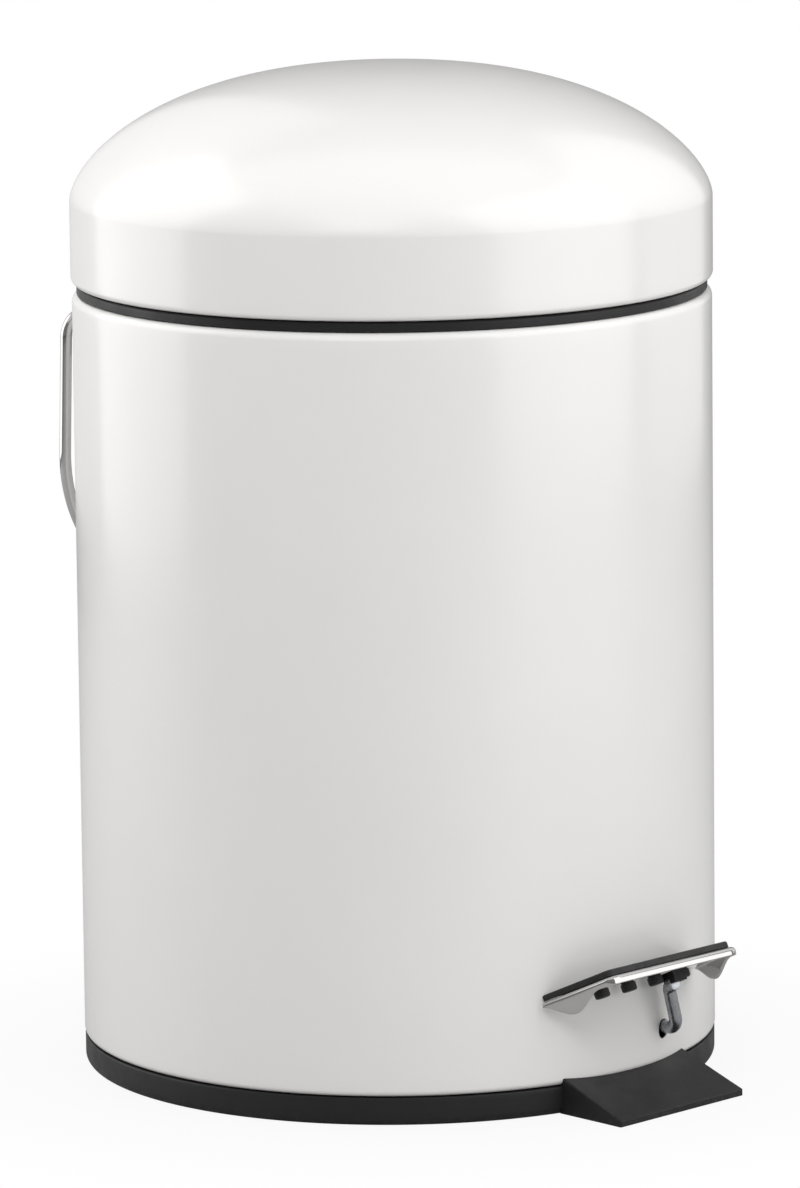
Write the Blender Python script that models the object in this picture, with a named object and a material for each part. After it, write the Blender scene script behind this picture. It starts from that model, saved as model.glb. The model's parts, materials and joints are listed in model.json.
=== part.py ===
"""Round 5 litre pedal bin: enamelled steel shell, domed lid, black plastic base with a toe wedge.

Metres, +Z up.  The origin is on the bin's axis at floor level, the pedal is at the front (-Y),
and the lid hinge and the wire carrying handle are at the rear (+Y).
"""
import math

import bmesh
import bpy
from mathutils import Matrix, Vector

GAP = 0.0003                  # between pieces that touch
BITE = 0.0004                 # overlap of bodies that are joined
CUT_PAST = 0.002              # cutting bodies run on past the cut
SEGMENTS = 48                 # round the big turned pieces
SMALL_SEGMENTS = 20           # round pins, rivets and holes

# shell
BODY_RADIUS = 0.1025
BODY_HEIGHT = 0.2415
BODY_WALL = 0.0008
BODY_TOP_ROLL = 0.0028
BODY_FOOT_ROLL = 0.0020
BODY_LIP = 0.0005             # straight end of the rolled top edge
BODY_FLANGE_WIDTH = 0.0040    # turned in at the foot

# base moulding and its wedge
BASE_HEIGHT = 0.0091
BASE_FLOOR = 0.0040
BASE_INSET = 0.0002
BASE_ROUND = 0.0026
COLLAR_WALL = 0.0026
COLLAR_BEAD = 0.0007
COLLAR_BEAD_HEIGHT = 0.0014
WEDGE_REACH = 0.0215          # past the shell
WEDGE_WIDTH_FRONT = 0.0575
WEDGE_WIDTH_REAR = 0.0560
WEDGE_LIP = 0.0020
WEDGE_TOP = 0.0102            # where the ramp meets the shell
WEDGE_BEVEL = 0.0006

# rim ring
RING_FLANGE = 0.0030
RING_INSET = 0.0015
RING_SKIRT_DEPTH = 0.0080
RING_SKIRT_WALL = 0.0020
RING_DECK = 0.0025
RING_ROUND = 0.0012
RING_GATE_SPARE = 0.0008       # beside the bracket's neck

# inner bucket
BUCKET_CLEARANCE = 0.0003      # to the sweep of the crank finger
BUCKET_SPARE = 0.0008          # round the bucket in the ring
BUCKET_TAPER = 0.0060
BUCKET_WALL = 0.0016
BUCKET_CORNER = 0.0040
BUCKET_FLANGE = 0.0033
BUCKET_FLANGE_THICKNESS = 0.0015
BUCKET_FLOOR_HEIGHT = 0.0440
BUCKET_EAR_WIDTH = 0.0090
BUCKET_EAR_THICKNESS = 0.0026
BUCKET_EAR_HEIGHT = 0.0050
BUCKET_WIRE_RADIUS = 0.0015

# lid
LID_OVERHANG = 0.0003
LID_SHEET = 0.0008
LID_CLEARANCE = 0.0003
LID_ROLL = 0.0020
LID_LIP = 0.0008
LID_SKIRT = 0.0261
LID_DOME = 0.0422
LID_DOME_STEPS = 10

# hinge at the rear
HINGE_OFFSET = 0.0050         # axis behind the shell
HINGE_RISE = 0.0011           # axis above the shell's top edge
HINGE_PIN_RADIUS = 0.0020
HINGE_BARREL_RADIUS = 0.0039
HINGE_BARREL_LENGTH = 0.0180
HINGE_EAR = 0.0030
HINGE_PLATE = 0.0022
HINGE_PLATE_HEIGHT = 0.0180
HINGE_PLATE_DROP = 0.0020      # plate's top edge below the barrel
HINGE_RIVET_SPACING = 0.0130
HINGE_PIN_HEAD = 0.0012        # past the pin's radius
HINGE_PIN_HEAD_THICKNESS = 0.0010
LID_OPENING = math.radians(64)
CRANK_ARM = 0.0160            # push rod ahead of the hinge axis
BRACKET_SHEET = 0.0016
BRACKET_NECK = 0.0022
BRACKET_WIDTH = 0.0220
BRACKET_RISE = 0.0220
BRACKET_STANDOFF = 0.0010      # inside the lid's rolled edge
BRACKET_LIFT = 0.0004          # neck above the ring's gate
BRACKET_BOSS_RADIUS = 0.0035
LID_RIVET_HEIGHT = 0.0120      # above the lid's lower edge
FINGER_WIDTH = 0.0060
FINGER_THICKNESS = 0.0026
FINGER_OVERRUN = 0.0011       # past the push rod's line
FINGER_STANDOFF = 0.0010      # ahead of the shell's rolled edge
FINGER_ROOT = 0.0030

# push rod
ROD_RADIUS = 0.0020
ROD_SLACK = 0.0009            # below the crank finger at rest
SHOE_LENGTH = 0.0090
SHOE_WIDTH = 0.0104
SHOE_HEIGHT = 0.0130
SHOE_ROOF = 0.0040              # between the lever and the push rod
SHOE_OVER_LEVER = 0.0012        # sides reach below the lever's axis
SHOE_CLEARANCE = 0.0009
GUIDE_FRONT_WALL = 0.0018
GUIDE_HEIGHT = 0.0060
GUIDE_WIDTH = 0.0160
GUIDE_LOW = 0.0630
GUIDE_BELOW_TOP = 0.0360

# lever and pedal
LEVER_RADIUS = 0.0021
LEVER_HEIGHT = 0.0212
LEVER_PIVOT_INSET = 0.0090    # pivot behind the shell's front
LEVER_ENTRY = 0.0164          # sideways from the middle
LEVER_CRANK = 0.0284          # length of the pivot run
LEVER_STANDOFF = 0.0048       # upright part ahead of the shell
LEVER_BEND = 0.0042
LEVER_TOP_BEND = 0.0008         # added to the wire's radius
LEVER_TOP_SHIFT = 0.0042        # knee towards the middle
LEVER_KNEE_DROP = 0.0016        # knee below the pedal's rear edge
LEVER_HOLE_CLEARANCE = 0.0004
LEVER_END = (-0.0016, -0.0037, 0.0018)   # cut end from the knee
BEARING_WIDTH = 0.0165
BEARING_CAP = 0.0020
BEARING_FRONT_WALL = 0.0024
BEARING_BACK_WALL = 0.0080
BEARING_SCREW_EDGE = 0.0040     # screw line from the groove and from each end
BEARING_SCREW_DEPTH = 0.0080
BEARING_FOOT_SCREW_DEPTH = 0.0065
PEDAL_SLOPE = math.radians(25.5)
PEDAL_REAR_WIDTH = 0.0730
PEDAL_FRONT_WIDTH = 0.0590
PEDAL_LENGTH = 0.0260
PEDAL_REAR_HEIGHT = 0.0373
PEDAL_SHEET = 0.0012
PEDAL_CORNER = 0.0045
PEDAL_BEND = 0.0009             # drop of the bent edge
PEDAL_TIP = 0.0006              # flange depth at the rear tips
PEDAL_FLANGE = 0.0020           # flange depth at the front
PEDAL_WING = 0.0050             # added where the wings are deepest
PEDAL_WING_START = -0.05        # shares of the pedal's length
PEDAL_WING_END = 0.80
PEDAL_DRAFT = 0.20              # flange leans in
PEDAL_SHELL_GAP = 0.0017
PAD_THICKNESS = 0.0020
PAD_INSET = 0.0018
PEG_RADIUS = 0.0025
PEG_DEPTH = 0.0030
PEG_SPACING = 0.0125
PEG_BEHIND_MIDDLE = 0.0056      # peg row behind the plate's middle
CLIP_WIDTH = 0.0056
CLIP_LENGTH = 0.0052
CLIP_HEIGHT = 0.0038
CLIP_SHIFT = 0.0010             # ahead of the lever's knee

# rear carrying handle
HANDLE_WIRE_RADIUS = 0.0019
HANDLE_HALF_WIDTH = 0.0480
HANDLE_DROP = 0.0450          # pivot to the centre of the bottom bend
HANDLE_BELOW_TOP = 0.0129
HANDLE_PIVOT_INSET = 0.0013     # pivot inside the shell's outermost line
HANDLE_BEND = 0.0070
HANDLE_END = 0.0280
LUG_WIDTH = 0.0080
LUG_CENTRE = 0.0350
LUG_HEIGHT = 0.0180
LUG_BARREL = 0.0033
LUG_STANDOFF = 0.0010
LUG_RIVET_DROP = 0.0070         # below the barrel

# fasteners
RIVET_RADIUS = 0.0015
RIVET_HEAD = 0.0029
RIVET_HEAD_HEIGHT = 0.0012
RIVET_TAIL_HEIGHT = 0.0009
SCREW_RADIUS = 0.0015
SCREW_HEAD = 0.0027
SCREW_HEAD_HEIGHT = 0.0016
CAP_SCREW_LENGTH = 0.0090
BASE_SCREW_LENGTH = 0.0070

# places that follow from the sizes above
BODY_FOOT = BASE_HEIGHT + GAP
BODY_TOP = BODY_FOOT + BODY_HEIGHT
BODY_INSIDE = BODY_RADIUS - BODY_WALL
FLANGE_INSIDE = BODY_RADIUS - BODY_FLANGE_WIDTH
RING_BOTTOM = BODY_TOP + GAP
RING_TOP = RING_BOTTOM + RING_FLANGE
RING_SKIRT_OUTSIDE = BODY_RADIUS - BODY_TOP_ROLL - BODY_LIP - GAP
LID_BOTTOM = RING_TOP + LID_CLEARANCE
LID_RADIUS = BODY_RADIUS + LID_OVERHANG
LID_SHOULDER = LID_BOTTOM + LID_SKIRT
BRACKET_FRONT = LID_RADIUS - LID_ROLL - LID_LIP - BRACKET_STANDOFF - BRACKET_SHEET
LEDGE_TOP = RING_TOP - BUCKET_FLANGE_THICKNESS - 2 * GAP
HINGE = Vector((0, BODY_RADIUS + HINGE_OFFSET, BODY_TOP + HINGE_RISE))
HINGE_PLATE_TOP = HINGE.z - HINGE_BARREL_RADIUS - HINGE_PLATE_DROP
ROD_Y = HINGE.y - CRANK_ARM
CRANK_DROP = CRANK_ARM * math.tan(LID_OPENING / 2)
ROD_TOP = HINGE.z - CRANK_DROP - ROD_SLACK
ROD_RISE = 2 * CRANK_DROP
PIVOT = Vector((0, LEVER_PIVOT_INSET - BODY_RADIUS, LEVER_HEIGHT))
LEVER_TRAVEL = math.asin(ROD_RISE / (ROD_Y - PIVOT.y))
FINGER_LENGTH = CRANK_ARM / math.cos(LID_OPENING / 2) + FINGER_OVERRUN
FINGER_SWEEP = math.hypot(FINGER_LENGTH, FINGER_THICKNESS)
GATE_FRONT = HINGE.y - FINGER_SWEEP - BUCKET_CLEARANCE
RECESS_RADIUS = GATE_FRONT - GAP
BUCKET_FLANGE_RADIUS = RECESS_RADIUS - GAP
BUCKET_TOP_RADIUS = BUCKET_FLANGE_RADIUS - BUCKET_FLANGE
LEDGE_RADIUS = BUCKET_TOP_RADIUS + BUCKET_SPARE
BUCKET_EAR_OUTSIDE = BUCKET_TOP_RADIUS - BUCKET_WALL + BITE
GUIDE_HIGH = BODY_TOP - GUIDE_BELOW_TOP
PEDAL_REAR_RADIUS = BODY_RADIUS + PEDAL_SHELL_GAP
PEDAL_REAR_Y = -math.sqrt(PEDAL_REAR_RADIUS ** 2 - (PEDAL_REAR_WIDTH / 2) ** 2)
HANDLE_PIVOT = Vector((0, BODY_RADIUS - HANDLE_PIVOT_INSET, BODY_TOP - HANDLE_BELOW_TOP))
LUG_FACE = math.sqrt(BODY_RADIUS ** 2 - (LUG_CENTRE - LUG_WIDTH / 2) ** 2) + LUG_STANDOFF
BUCKET_PIVOT = Vector((0, 0, LEDGE_TOP + GAP + BUCKET_FLANGE_THICKNESS + GAP + BUCKET_WIRE_RADIUS))


# ---------------------------------------------------------------- helpers

def clear_scene():
    for item in list(bpy.data.objects):
        bpy.data.objects.remove(item, do_unlink=True)


def material(name, colour, roughness, metallic):
    made = bpy.data.materials.new(name)
    made.use_nodes = True
    shader = made.node_tree.nodes["Principled BSDF"]
    shader.inputs["Base Color"].default_value = (*colour, 1)
    shader.inputs["Roughness"].default_value = roughness
    shader.inputs["Metallic"].default_value = metallic
    made.diffuse_color = (*colour, 1)
    return made


def finish(name, bm, look=None, merge=True):
    """Turn a bmesh into an object with outward faces; pieces with no look are tools for Booleans."""
    if merge:
        bmesh.ops.remove_doubles(bm, verts=bm.verts, dist=1e-6)
    bmesh.ops.recalc_face_normals(bm, faces=bm.faces)
    mesh = bpy.data.meshes.new(name)
    bm.to_mesh(mesh)
    bm.free()
    thing = bpy.data.objects.new(name, mesh)
    bpy.context.scene.collection.objects.link(thing)
    if look is None:
        thing.hide_render = True
        thing.display_type = "WIRE"
    else:
        mesh.materials.append(look)
        mesh.shade_smooth()
        mesh.set_sharp_from_angle(angle=math.radians(32))
    return thing


def boolean(thing, tool, operation):
    step = thing.modifiers.new(tool.name, "BOOLEAN")
    step.object = tool
    step.operation = operation
    step.solver = "EXACT"


def cut(thing, tool):
    boolean(thing, tool, "DIFFERENCE")


def add(thing, tool):
    boolean(thing, tool, "UNION")


def hang(things, name, pivot):
    """Parent pieces to an empty on their joint's axis."""
    empty = bpy.data.objects.new(name, None)
    empty.location = pivot
    empty.empty_display_size = 0.02
    bpy.context.scene.collection.objects.link(empty)
    for thing in things:
        thing.parent = empty
        thing.location = -pivot


def arc(centre, radius, start, end, steps):
    """Points on an arc in a 2-D plane, angles in degrees, ends included."""
    points = []
    for i in range(steps + 1):
        angle = math.radians(start + (end - start) * i / steps)
        points.append((centre[0] + radius * math.cos(angle), centre[1] + radius * math.sin(angle)))
    return points


def turned(name, profile, look=None, segments=SEGMENTS):
    """Solid of revolution about Z from a closed outline of (radius, height) points."""
    bm = bmesh.new()
    points = [bm.verts.new((max(r, 0), 0, z)) for r, z in profile]
    edges = [bm.edges.new((points[i], points[(i + 1) % len(points)])) for i in range(len(points))]
    bmesh.ops.spin(bm, geom=points + edges, cent=(0, 0, 0), axis=(0, 0, 1),
                   angle=math.tau, steps=segments, use_merge=True)
    bmesh.ops.dissolve_degenerate(bm, dist=1e-7, edges=bm.edges)
    return finish(name, bm, look)


def prism(name, outline, x_start, x_end, look=None):
    """A (y, z) outline extruded along X."""
    bm = bmesh.new()
    face = bm.faces.new([bm.verts.new((x_start, y, z)) for y, z in outline])
    grown = bmesh.ops.extrude_face_region(bm, geom=[face])
    moved = [item for item in grown["geom"] if isinstance(item, bmesh.types.BMVert)]
    bmesh.ops.translate(bm, verts=moved, vec=(x_end - x_start, 0, 0))
    return finish(name, bm, look)


def block(name, low, high, look=None):
    low, high = Vector(low), Vector(high)
    bm = bmesh.new()
    bmesh.ops.create_cube(bm, size=1)
    bmesh.ops.scale(bm, vec=high - low, verts=bm.verts)
    bmesh.ops.translate(bm, vec=(low + high) / 2, verts=bm.verts)
    return finish(name, bm, look)


def along(start, direction):
    """Matrix that takes +Z to a direction and the origin to a point."""
    turn = Vector((0, 0, 1)).rotation_difference(Vector(direction)).to_matrix().to_4x4()
    return Matrix.Translation(Vector(start)) @ turn


def rod(name, rods, look=None, segments=SMALL_SEGMENTS):
    """Plain cylinders, each (start, end, radius)."""
    bm = bmesh.new()
    for start, end, radius in rods:
        start, end = Vector(start), Vector(end)
        middle = along((start + end) / 2, end - start)
        bmesh.ops.create_cone(bm, cap_ends=True, segments=segments, radius1=radius, radius2=radius,
                              depth=(end - start).length, matrix=middle)
    return finish(name, bm, look, merge=False)


def pin(name, start, direction, profile, look, segments=SMALL_SEGMENTS):
    """A turned fastener whose axis runs from start along a direction."""
    thing = turned(name, profile, look, segments)
    thing.data.transform(along(start, direction))
    return thing


def rivet(name, outside, inward, grip, look):
    """Domed head outside, shank through the grip, flat head inside."""
    head = [(0, -RIVET_HEAD_HEIGHT)]
    steps = 4
    for i in range(1, steps + 1):
        angle = math.pi / 2 * i / steps
        height = RIVET_HEAD_HEIGHT - GAP
        head.append((RIVET_HEAD * math.sin(angle), -GAP - height * math.cos(angle)))
    tail = grip + GAP
    profile = head + [(RIVET_RADIUS, -GAP), (RIVET_RADIUS, tail), (RIVET_HEAD * 0.85, tail),
                      (RIVET_HEAD * 0.85, tail + RIVET_TAIL_HEIGHT), (0, tail + RIVET_TAIL_HEIGHT)]
    return pin(name, outside, inward, profile, look)


def screw(name, seat, direction, length, look):
    """Pan head above the seat, shank into the work along a direction."""
    edge = SCREW_HEAD_HEIGHT * 0.4
    profile = [(0, -GAP - SCREW_HEAD_HEIGHT), (SCREW_HEAD - edge, -GAP - SCREW_HEAD_HEIGHT),
               (SCREW_HEAD, -GAP - SCREW_HEAD_HEIGHT + edge), (SCREW_HEAD, -GAP),
               (SCREW_RADIUS, -GAP), (SCREW_RADIUS, length), (0, length)]
    return pin(name, seat, direction, profile, look)


def rounded(points, radius, steps=6):
    """A path whose corners are arcs of the given bend radius."""
    points = [Vector(p) for p in points]
    path = [points[0]]
    for before, corner, after in zip(points, points[1:], points[2:]):
        one = (before - corner).normalized()
        two = (after - corner).normalized()
        half = one.angle(two) / 2
        reach = radius / math.tan(half)
        centre = corner + (one + two).normalized() * radius / math.sin(half)
        first = corner + one * reach - centre
        last = corner + two * reach - centre
        sweep = first.angle(last)
        for i in range(steps + 1):
            share = i / steps
            turn = (math.sin((1 - share) * sweep) * first + math.sin(share * sweep) * last) / math.sin(sweep)
            path.append(centre + turn)
    path.append(points[-1])
    return path


def wire(name, path, radius, look=None, resolution=3):
    """Round wire along a path, as a bevelled curve with closed ends turned into a mesh."""
    curve = bpy.data.curves.new(name, "CURVE")
    curve.dimensions = "3D"
    curve.bevel_depth = radius
    curve.bevel_resolution = resolution
    curve.use_fill_caps = True
    spline = curve.splines.new("POLY")
    spline.points.add(len(path) - 1)
    for place, point in zip(spline.points, path):
        place.co = (*point, 1)
    source = bpy.data.objects.new(name + "_path", curve)
    bpy.context.scene.collection.objects.link(source)
    bpy.context.view_layer.update()
    mesh = bpy.data.meshes.new_from_object(source)
    bpy.data.objects.remove(source, do_unlink=True)
    bm = bmesh.new()
    bm.from_mesh(mesh)
    bpy.data.meshes.remove(mesh)
    return finish(name, bm, look)


# ---------------------------------------------------------------- shell, ring and base

def shell_profile():
    foot, top = BODY_FOOT, BODY_TOP
    outer = [(FLANGE_INSIDE, foot)]
    outer += arc((BODY_RADIUS - BODY_FOOT_ROLL, foot + BODY_FOOT_ROLL), BODY_FOOT_ROLL, -90, 0, 3)
    outer += arc((BODY_RADIUS - BODY_TOP_ROLL, top - BODY_TOP_ROLL), BODY_TOP_ROLL, 0, 90, 4)
    lip = BODY_RADIUS - BODY_TOP_ROLL - BODY_LIP
    inner = [(lip, top), (lip, top - BODY_WALL)]
    inner += arc((BODY_RADIUS - BODY_TOP_ROLL, top - BODY_TOP_ROLL), BODY_TOP_ROLL - BODY_WALL, 90, 0, 3)
    inner += arc((BODY_RADIUS - BODY_FOOT_ROLL, foot + BODY_FOOT_ROLL), BODY_FOOT_ROLL - BODY_WALL, 0, -90, 2)
    inner += [(FLANGE_INSIDE, foot + BODY_WALL)]
    return outer + inner


def body_shell(look):
    thing = turned("body_shell", shell_profile(), look)
    cut(thing, lever_hole())
    cut(thing, rivet_holes("shell_rivet_holes", hinge_rivets() + lug_rivets()))
    return thing


def lever_hole():
    """Upright slot that lets the lever tilt as far as the pedal travels."""
    reach = math.sqrt(BODY_RADIUS ** 2 - LEVER_ENTRY ** 2)
    drop = (reach + PIVOT.y) * math.sin(LEVER_TRAVEL)
    radius = LEVER_RADIUS + LEVER_HOLE_CLEARANCE
    high, low = LEVER_HEIGHT - GAP / 2, LEVER_HEIGHT - drop - GAP / 2
    bm = bmesh.new()
    outline = arc((LEVER_ENTRY, high), radius, 0, 180, 8) + arc((LEVER_ENTRY, low), radius, 180, 360, 8)
    face = bm.faces.new([bm.verts.new((x, -reach - 0.004, z)) for x, z in outline])
    grown = bmesh.ops.extrude_face_region(bm, geom=[face])
    moved = [item for item in grown["geom"] if isinstance(item, bmesh.types.BMVert)]
    bmesh.ops.translate(bm, verts=moved, vec=(0, 0.008, 0))
    return finish("lever_hole", bm)


def rim_ring(look):
    """Collar over the shell's edge, with a ledge for the bucket and a gate for the lid bracket."""
    outside = BODY_RADIUS - RING_INSET
    skirt_inside = RING_SKIRT_OUTSIDE - RING_SKIRT_WALL
    deck_bottom = LEDGE_TOP - RING_DECK
    skirt_bottom = RING_BOTTOM - RING_SKIRT_DEPTH
    profile = [(outside, RING_BOTTOM)]
    profile += arc((outside - RING_ROUND, RING_TOP - RING_ROUND), RING_ROUND, 0, 90, 3)
    profile += [(RECESS_RADIUS + RING_ROUND / 2, RING_TOP), (RECESS_RADIUS, RING_TOP - RING_ROUND / 2),
                (RECESS_RADIUS, LEDGE_TOP), (LEDGE_RADIUS, LEDGE_TOP), (LEDGE_RADIUS, deck_bottom),
                (skirt_inside, deck_bottom), (skirt_inside, skirt_bottom),
                (RING_SKIRT_OUTSIDE, skirt_bottom), (RING_SKIRT_OUTSIDE, RING_BOTTOM)]
    thing = turned("rim_ring", profile, look)
    half = BRACKET_WIDTH / 2 + RING_GATE_SPARE
    gate = block("ring_gate", (-half, GATE_FRONT, skirt_bottom - CUT_PAST),
                 (half, BODY_RADIUS + CUT_PAST, RING_TOP + CUT_PAST))
    cut(thing, gate)
    return thing


def base_moulding(look):
    """Foot ring with a closed underside, a snap collar inside the shell and the toe wedge."""
    radius = BODY_RADIUS - BASE_INSET
    collar = FLANGE_INSIDE - GAP
    bead_low = BODY_FOOT + BODY_WALL + GAP
    profile = [(0, 0)]
    profile += arc((radius - BASE_ROUND, BASE_ROUND), BASE_ROUND, -90, 0, 4)
    profile += [(radius, BASE_HEIGHT), (collar, BASE_HEIGHT), (collar, bead_low),
                (collar + COLLAR_BEAD, bead_low), (collar, bead_low + COLLAR_BEAD_HEIGHT),
                (collar - COLLAR_WALL, bead_low + COLLAR_BEAD_HEIGHT),
                (collar - COLLAR_WALL, BASE_FLOOR), (0, BASE_FLOOR)]
    thing = turned("base_moulding", profile, look)
    toe = wedge()
    cut(toe, wedge_seat())
    add(thing, toe)
    holes = []
    for x, y in bearing_screw_places():
        holes.append(((x, y, -CUT_PAST), (x, y, SCREW_HEAD_HEIGHT + GAP * 2), SCREW_HEAD + GAP))
        holes.append(((x, y, -CUT_PAST), (x, y, BASE_FLOOR + CUT_PAST), SCREW_RADIUS + GAP))
    for i, hole in enumerate(holes):
        cut(thing, rod("base_screw_hole_%d" % i, [hole]))
    return thing


def wedge():
    """Toe plate that keeps the bin from tipping when the pedal is pressed."""
    rear_y = -(FLANGE_INSIDE - GAP - COLLAR_WALL / 2)
    front_y = -(BODY_RADIUS + WEDGE_REACH)
    slope = (WEDGE_TOP - WEDGE_LIP) / WEDGE_REACH
    rear_top = WEDGE_TOP + slope * (BODY_RADIUS + rear_y)
    bm = bmesh.new()
    corners = {}
    for side in (-1, 1):
        for tag, y, z, half in (("rear_low", rear_y, 0, WEDGE_WIDTH_REAR / 2),
                                ("front_low", front_y, 0, WEDGE_WIDTH_FRONT / 2),
                                ("front_top", front_y, WEDGE_LIP, WEDGE_WIDTH_FRONT / 2),
                                ("rear_top", rear_y, rear_top, WEDGE_WIDTH_REAR / 2)):
            corners[side, tag] = bm.verts.new((side * half, y, z))
    tags = ("rear_low", "front_low", "front_top", "rear_top")
    bm.faces.new([corners[-1, tag] for tag in tags])
    bm.faces.new([corners[1, tag] for tag in reversed(tags)])
    for here, there in zip(tags, tags[1:] + tags[:1]):
        bm.faces.new([corners[-1, here], corners[1, here], corners[1, there], corners[-1, there]])
    soft = [edge for edge in bm.edges if all(v.co.z > WEDGE_LIP / 2 for v in edge.verts)
            and not all(v.co.y > rear_y - 1e-6 for v in edge.verts)]
    upright = [edge for edge in bm.edges if all(v.co.y < front_y + 1e-6 for v in edge.verts)
               and abs(edge.verts[0].co.x - edge.verts[1].co.x) < 1e-6]
    bmesh.ops.bevel(bm, geom=soft + upright, offset=WEDGE_BEVEL, segments=2, affect="EDGES", profile=0.5)
    return finish("wedge", bm)


def wedge_seat():
    """Clears the shell's foot and wall out of the wedge."""
    outside = BODY_RADIUS + GAP
    return turned("wedge_seat", [(0, BASE_HEIGHT), (outside, BASE_HEIGHT),
                                 (outside, BASE_HEIGHT + 0.02), (0, BASE_HEIGHT + 0.02)])


# ---------------------------------------------------------------- bucket

def inner_bucket(look):
    flange_low = LEDGE_TOP + GAP
    flange_top = flange_low + BUCKET_FLANGE_THICKNESS
    floor = BUCKET_FLOOR_HEIGHT
    bottom = BUCKET_TOP_RADIUS - BUCKET_TAPER
    corner = BUCKET_CORNER
    profile = [(0, floor)] + arc((bottom - corner, floor + corner), corner, -90, 0, 4)
    profile += [(BUCKET_TOP_RADIUS, flange_low), (BUCKET_FLANGE_RADIUS, flange_low),
                (BUCKET_FLANGE_RADIUS, flange_top), (BUCKET_TOP_RADIUS - BUCKET_WALL, flange_top)]
    inner = corner - BUCKET_WALL
    profile += arc((bottom - corner, floor + corner), inner, 0, -90, 4) + [(0, floor + BUCKET_WALL)]
    thing = turned("inner_bucket", profile, look)
    for side, name in ((-1, "left"), (1, "right")):
        add(thing, bucket_ear(side, name, flange_top))
    hole = BUCKET_WIRE_RADIUS + GAP
    reach = BUCKET_FLANGE_RADIUS + CUT_PAST
    cut(thing, rod("bucket_ear_holes", [((-reach, 0, BUCKET_PIVOT.z), (reach, 0, BUCKET_PIVOT.z), hole)]))
    return thing


def bucket_ear(side, name, flange_top):
    """Upright eye for the bail at the inner edge of the flange."""
    inside = BUCKET_EAR_OUTSIDE - BUCKET_EAR_THICKNESS
    half = BUCKET_EAR_WIDTH / 2
    top = flange_top + BUCKET_EAR_HEIGHT
    outline = [(-half, flange_top - 0.0008), (half, flange_top - 0.0008), (half, top - 0.002)]
    outline += arc((0, top - half), half, 30, 150, 6)
    outline += [(-half, top - 0.002)]
    return prism("bucket_ear_" + name, outline, side * inside, side * (inside + BUCKET_EAR_THICKNESS))


def bucket_handle(look):
    """Wire bail that lies on the front half of the bucket's flange."""
    height = BUCKET_PIVOT.z
    end = BUCKET_EAR_OUTSIDE - BUCKET_EAR_THICKNESS - 0.0030
    bend = BUCKET_WIRE_RADIUS + 0.0006
    bow = BUCKET_EAR_OUTSIDE + GAP + bend
    start = 0.008
    left = rounded([(-end, 0, height), (-bow, 0, height), (-bow, -start, height)], bend, 4)[:-1]
    steps = 24
    path = list(left)
    for i in range(steps + 1):
        angle = math.pi * i / steps
        path.append(Vector((-bow * math.cos(angle), -start - (bow - start) * math.sin(angle), height)))
    path += [Vector((-p.x, p.y, p.z)) for p in reversed(left)]
    return wire("bucket_handle", path, BUCKET_WIRE_RADIUS, look, 2)


# ---------------------------------------------------------------- lid and hinge

def lid_profile():
    """Rolled foot, straight skirt and a dome that is flatter than a circle near the top."""
    radius, shoulder = LID_RADIUS, LID_SHOULDER
    roll = (radius - LID_ROLL, LID_BOTTOM + LID_ROLL)
    outer = [(radius - LID_ROLL - LID_LIP, LID_BOTTOM)] + arc(roll, LID_ROLL, -90, 0, 3)
    inner = []
    for i in range(LID_DOME_STEPS + 1):
        angle = math.pi / 2 * i / LID_DOME_STEPS
        across = math.cos(angle) ** (2 / 2.351) if i < LID_DOME_STEPS else 0
        up = math.sin(angle) ** (2 / 1.607)
        outer.append((radius * across, shoulder + LID_DOME * up))
        inner.append(((radius - LID_SHEET) * across, shoulder + (LID_DOME - LID_SHEET) * up))
    inner.reverse()
    inner += arc(roll, LID_ROLL - LID_SHEET, 0, -90, 2)
    inner += [(radius - LID_ROLL - LID_LIP, LID_BOTTOM + LID_SHEET)]
    return outer + inner


def lid_shell(look):
    thing = turned("lid_shell", lid_profile(), look)
    cut(thing, rivet_holes("lid_rivet_holes", lid_rivets()))
    return thing


def lid_hinge_bracket(look):
    """Barrel on the hinge pin, neck through the ring's gate, riveted plate and crank finger."""
    plate_back = BRACKET_FRONT + BRACKET_SHEET
    neck_low = RING_BOTTOM + BRACKET_LIFT
    neck_top = min(neck_low + BRACKET_NECK, LID_BOTTOM - GAP)
    half = BRACKET_WIDTH / 2
    thing = block("lid_hinge_bracket", (-half, BRACKET_FRONT, neck_low),
                  (half, plate_back, neck_low + BRACKET_RISE), look)
    add(thing, block("neck", (-half, BRACKET_FRONT + BITE / 4, neck_low), (half, BODY_RADIUS + BITE, neck_top)))
    inner_half = HINGE_BARREL_LENGTH / 2
    add(thing, block("neck_end", (-inner_half, BODY_RADIUS, neck_low), (inner_half, HINGE.y, neck_top)))
    add(thing, rod("barrel", [((-inner_half, HINGE.y, HINGE.z), (inner_half, HINGE.y, HINGE.z),
                               HINGE_BARREL_RADIUS)], segments=24))
    add(thing, finger(neck_top))
    for side, place in zip(("left", "right"), lid_rivets()):
        outside, inward, grip = place
        start = Vector((outside.x, LID_RADIUS - LID_SHEET - GAP * 3, outside.z))
        add(thing, rod("boss_" + side, [(start, (start.x, BRACKET_FRONT + BITE / 2, start.z),
                                             BRACKET_BOSS_RADIUS)]))
    cut(thing, rod("barrel_bore", [((-0.02, HINGE.y, HINGE.z), (0.02, HINGE.y, HINGE.z),
                                    HINGE_PIN_RADIUS + GAP)], segments=24))
    cut(thing, rivet_holes("bracket_rivet_holes", lid_rivets()))
    return thing


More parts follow.
